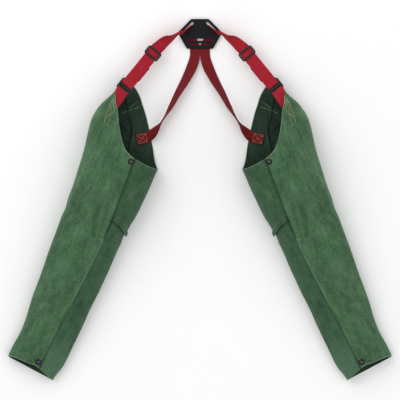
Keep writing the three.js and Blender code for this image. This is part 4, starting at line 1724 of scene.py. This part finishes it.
        soften = shape.modifiers.new("Soften", "SMOOTH")
        soften.factor, soften.iterations = 0.5, 3
        local, faces = baked(shape)
        heart = np.array([self.half_wide, rail_at + self.rail / 2]) - self.buckle_corner
        past = np.abs(local[:, :2]) - heart
        beyond = (past > 0).all(1)
        squared = past[beyond].max(1, keepdims=True)
        local[beyond, :2] = np.sign(local[beyond, :2]) * (heart + unit(past[beyond]) * squared)
        points = origin + local @ np.stack([self.along, self.across, self.out])
        piece = make_piece(self.name(word), self.mirrored(points), faces,
                           [self.wardrobe[Look.BUCKLE]])
        return declare(piece, "moulded_buckle", self.name(node), body=self.name(body))

    def build(self) -> None:
        """Makes every strap and buckle of this side."""
        self.build_yoke()
        self.build_upper()
        self.build_ring_straps()
        self.build_lower()
        self.build_buckle("strap_adjuster", "slider", "strap_slider", self.start, self.clear,
                          -self.clear, self.slider_bar_wide)
        ring_middle = self.at(self.ring_at, 0, 0, -self.clear)
        self.build_buckle("shoulder_ring", "ring", "ring_link", ring_middle, 0.0, 0.0,
                          self.bar_wide)


# ---- back plate ----------------------------------------------------------------------------------
@dataclass
class BackPlate:
    """The moulded plate that the straps cross at the back."""

    wardrobe: Wardrobe
    outline: Line = (
        (17.6, 362.0), (43.6, 335.6), (41.2, 328.6), (26.2, 302.2))
    slots: tuple[tuple[float, float, float], ...] = ((320.3, 27.0, 4.0), (311.6, 21.9, 3.6))
    diagonal: tuple[tuple[float, float], tuple[float, float], float] = (
        (14.8, 354.0), (35.6, 333.2), 4.8)
    under: float = 1.5
    thick: float = 3.0
    bevel: float = 0.7
    corner: float = 2.4
    sharp: float = 35.0

    def rounded(self, corners: Sequence[tuple[float, float]]) -> list[tuple[float, float]]:
        """Rounds off the corners of a closed outline.

        Args:
            corners: its corners in order.

        Returns:
            The rounded outline.
        """
        points: list[tuple[float, float]] = []
        count = len(corners)
        for i, here in enumerate(corners):
            p = np.array(here)
            arms = [np.array(corners[n % count]) - p for n in (i - 1, i + 1)]
            reach = min(self.corner, *(0.4 * np.linalg.norm(arm) for arm in arms))
            first, last = (p + unit(arm) * reach for arm in arms)
            for t in np.linspace(0, 1, 7):
                points.append(tuple((1 - t) ** 2 * first + 2 * t * (1 - t) * p + t * t * last))
        return points

    @staticmethod
    def slot(first: Array, last: Array, width: float) -> list[tuple[float, float]]:
        """Draws a round-ended slot.

        Args:
            first: the middle of its first end.
            last: the middle of its last end.
            width: its width.

        Returns:
            Its outline.
        """
        ahead = unit(last - first)
        way = np.array([-ahead[1], ahead[0]])
        points = []
        for centre, turn in ((last, -90), (first, 90)):
            for a in np.radians(np.linspace(turn, turn + 180, 13)):
                points.append(tuple(centre + (ahead * math.cos(a) + way * math.sin(a)) * width / 2))
        return points

    def build(self) -> bpy.types.Object:
        """Makes the plate.

        Returns:
            The plate.
        """
        whole = list(self.outline) + [(-x, y) for x, y in reversed(self.outline)]
        loops = [self.rounded(whole)]
        for y, half, high in self.slots:
            loops.append(self.slot(np.array([-half, y]), np.array([half, y]), high))
        (x0, y0), (x1, y1), width = self.diagonal
        for way in (-1, 1):
            loops.append(self.slot(np.array([way * x0, y0]), np.array([way * x1, y1]), width))
        outline = bpy.data.curves.new("plate_outline", "CURVE")
        outline.dimensions, outline.fill_mode = "2D", "BOTH"
        outline.extrude = (self.thick / 2 - self.bevel) * MM
        outline.bevel_depth, outline.bevel_resolution = self.bevel * MM, 3
        outline.offset = -self.bevel * MM
        for loop in loops:
            spline = outline.splines.new("POLY")
            spline.points.add(len(loop) - 1)
            for point, (x, y) in zip(spline.points, loop):
                point.co = (x * MM, y * MM, 0, 1)
            spline.use_cyclic_u = True
        points, faces = baked(bpy.data.objects.new("plate_outline", outline))
        plate = make_piece("moulded_back_plate", points + [0, 0, self.under + self.thick / 2],
                           faces, [self.wardrobe[Look.PLATE]])
        work = bmesh.new()
        work.from_mesh(plate.data)
        bmesh.ops.remove_doubles(work, verts=work.verts, dist=1e-6)
        bmesh.ops.recalc_face_normals(work, faces=work.faces)
        work.to_mesh(plate.data)
        work.free()
        plate.data.set_sharp_from_angle(angle=math.radians(self.sharp))
        return declare(plate, "moulded_plate", "back_plate", body="harness")


# ---- studio --------------------------------------------------------------------------------------
@dataclass
class Studio:
    """The pale floor, the soft lights and the camera straight above."""

    wardrobe: Wardrobe
    floor_half: float = 9000.0
    floor_z: float = -0.6
    lamps: tuple[tuple[str, tuple[float, float, float], float, float], ...] = (
        ("key", (-1.6, 1.5, 2.2), 2.6, 26.0), ("fill", (1.9, -0.6, 2.3), 2.6, 10.0))
    view_width: float = 0.8
    camera_at: tuple[float, float, float] = (0.0, -0.0006, 20.0)
    camera_reach: float = 100.0
    look_height: float = 0.035
    sensor: float = 36.0
    daylight: float = 0.8

    def lamp(self, name: str, place: tuple[float, float, float], size: float,
             power: float) -> None:
        """Adds a square soft light that faces the object.

        Args:
            name: its name.
            place: where it hangs, in metres.
            size: its side in metres.
            power: its power in watts.
        """
        data = bpy.data.lights.new(name, "AREA")
        data.energy, data.size = power, size
        lamp = bpy.data.objects.new(name, data)
        lamp.location = place
        lamp.rotation_euler = (-Vector(place)).to_track_quat("-Z", "Y").to_euler()
        bpy.context.collection.objects.link(lamp)

    def build(self) -> None:
        """Makes floor, lights, sky and camera."""
        corners = [(x * self.floor_half, y * self.floor_half, self.floor_z)
                   for x, y in ((-1, -1), (1, -1), (1, 1), (-1, 1))]
        floor = make_piece("floor", np.array(corners), [(0, 1, 2, 3)],
                           [self.wardrobe[Look.FLOOR]])
        log.info("%s: %d face", floor.name, len(floor.data.polygons))
        for lamp in self.lamps:
            self.lamp(*lamp)
        world = bpy.data.worlds.new("studio")
        world.use_nodes = True
        sky = world.node_tree.nodes["Background"].inputs
        sky["Color"].default_value = (1, 1, 1, 1)
        sky["Strength"].default_value = self.daylight
        bpy.context.scene.world = world
        data = bpy.data.cameras.new("above")
        data.sensor_width = self.sensor
        data.lens = self.sensor * (self.camera_at[2] - self.look_height) / self.view_width
        data.clip_end = self.camera_reach
        camera = bpy.data.objects.new("above", data)
        camera.location = self.camera_at
        bpy.context.collection.objects.link(camera)
        bpy.context.scene.camera = camera
        bpy.context.scene.view_settings.view_transform = "Standard"


def main() -> None:
    """Builds the object around the loaded frame; each piece is reported as it is made."""
    wardrobe = Wardrobe()
    Studio(wardrobe).build()
    BackPlate(wardrobe).build()
    for side in Side:
        Sleeve(side, wardrobe).build()
        StrapRig(side, wardrobe).build()
    log.info("every piece is in place")


if __name__ == "__main__":
    logging.basicConfig(level=logging.INFO, format="%(name)s: %(message)s")
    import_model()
    main()
    bpy.context.view_layer.update()
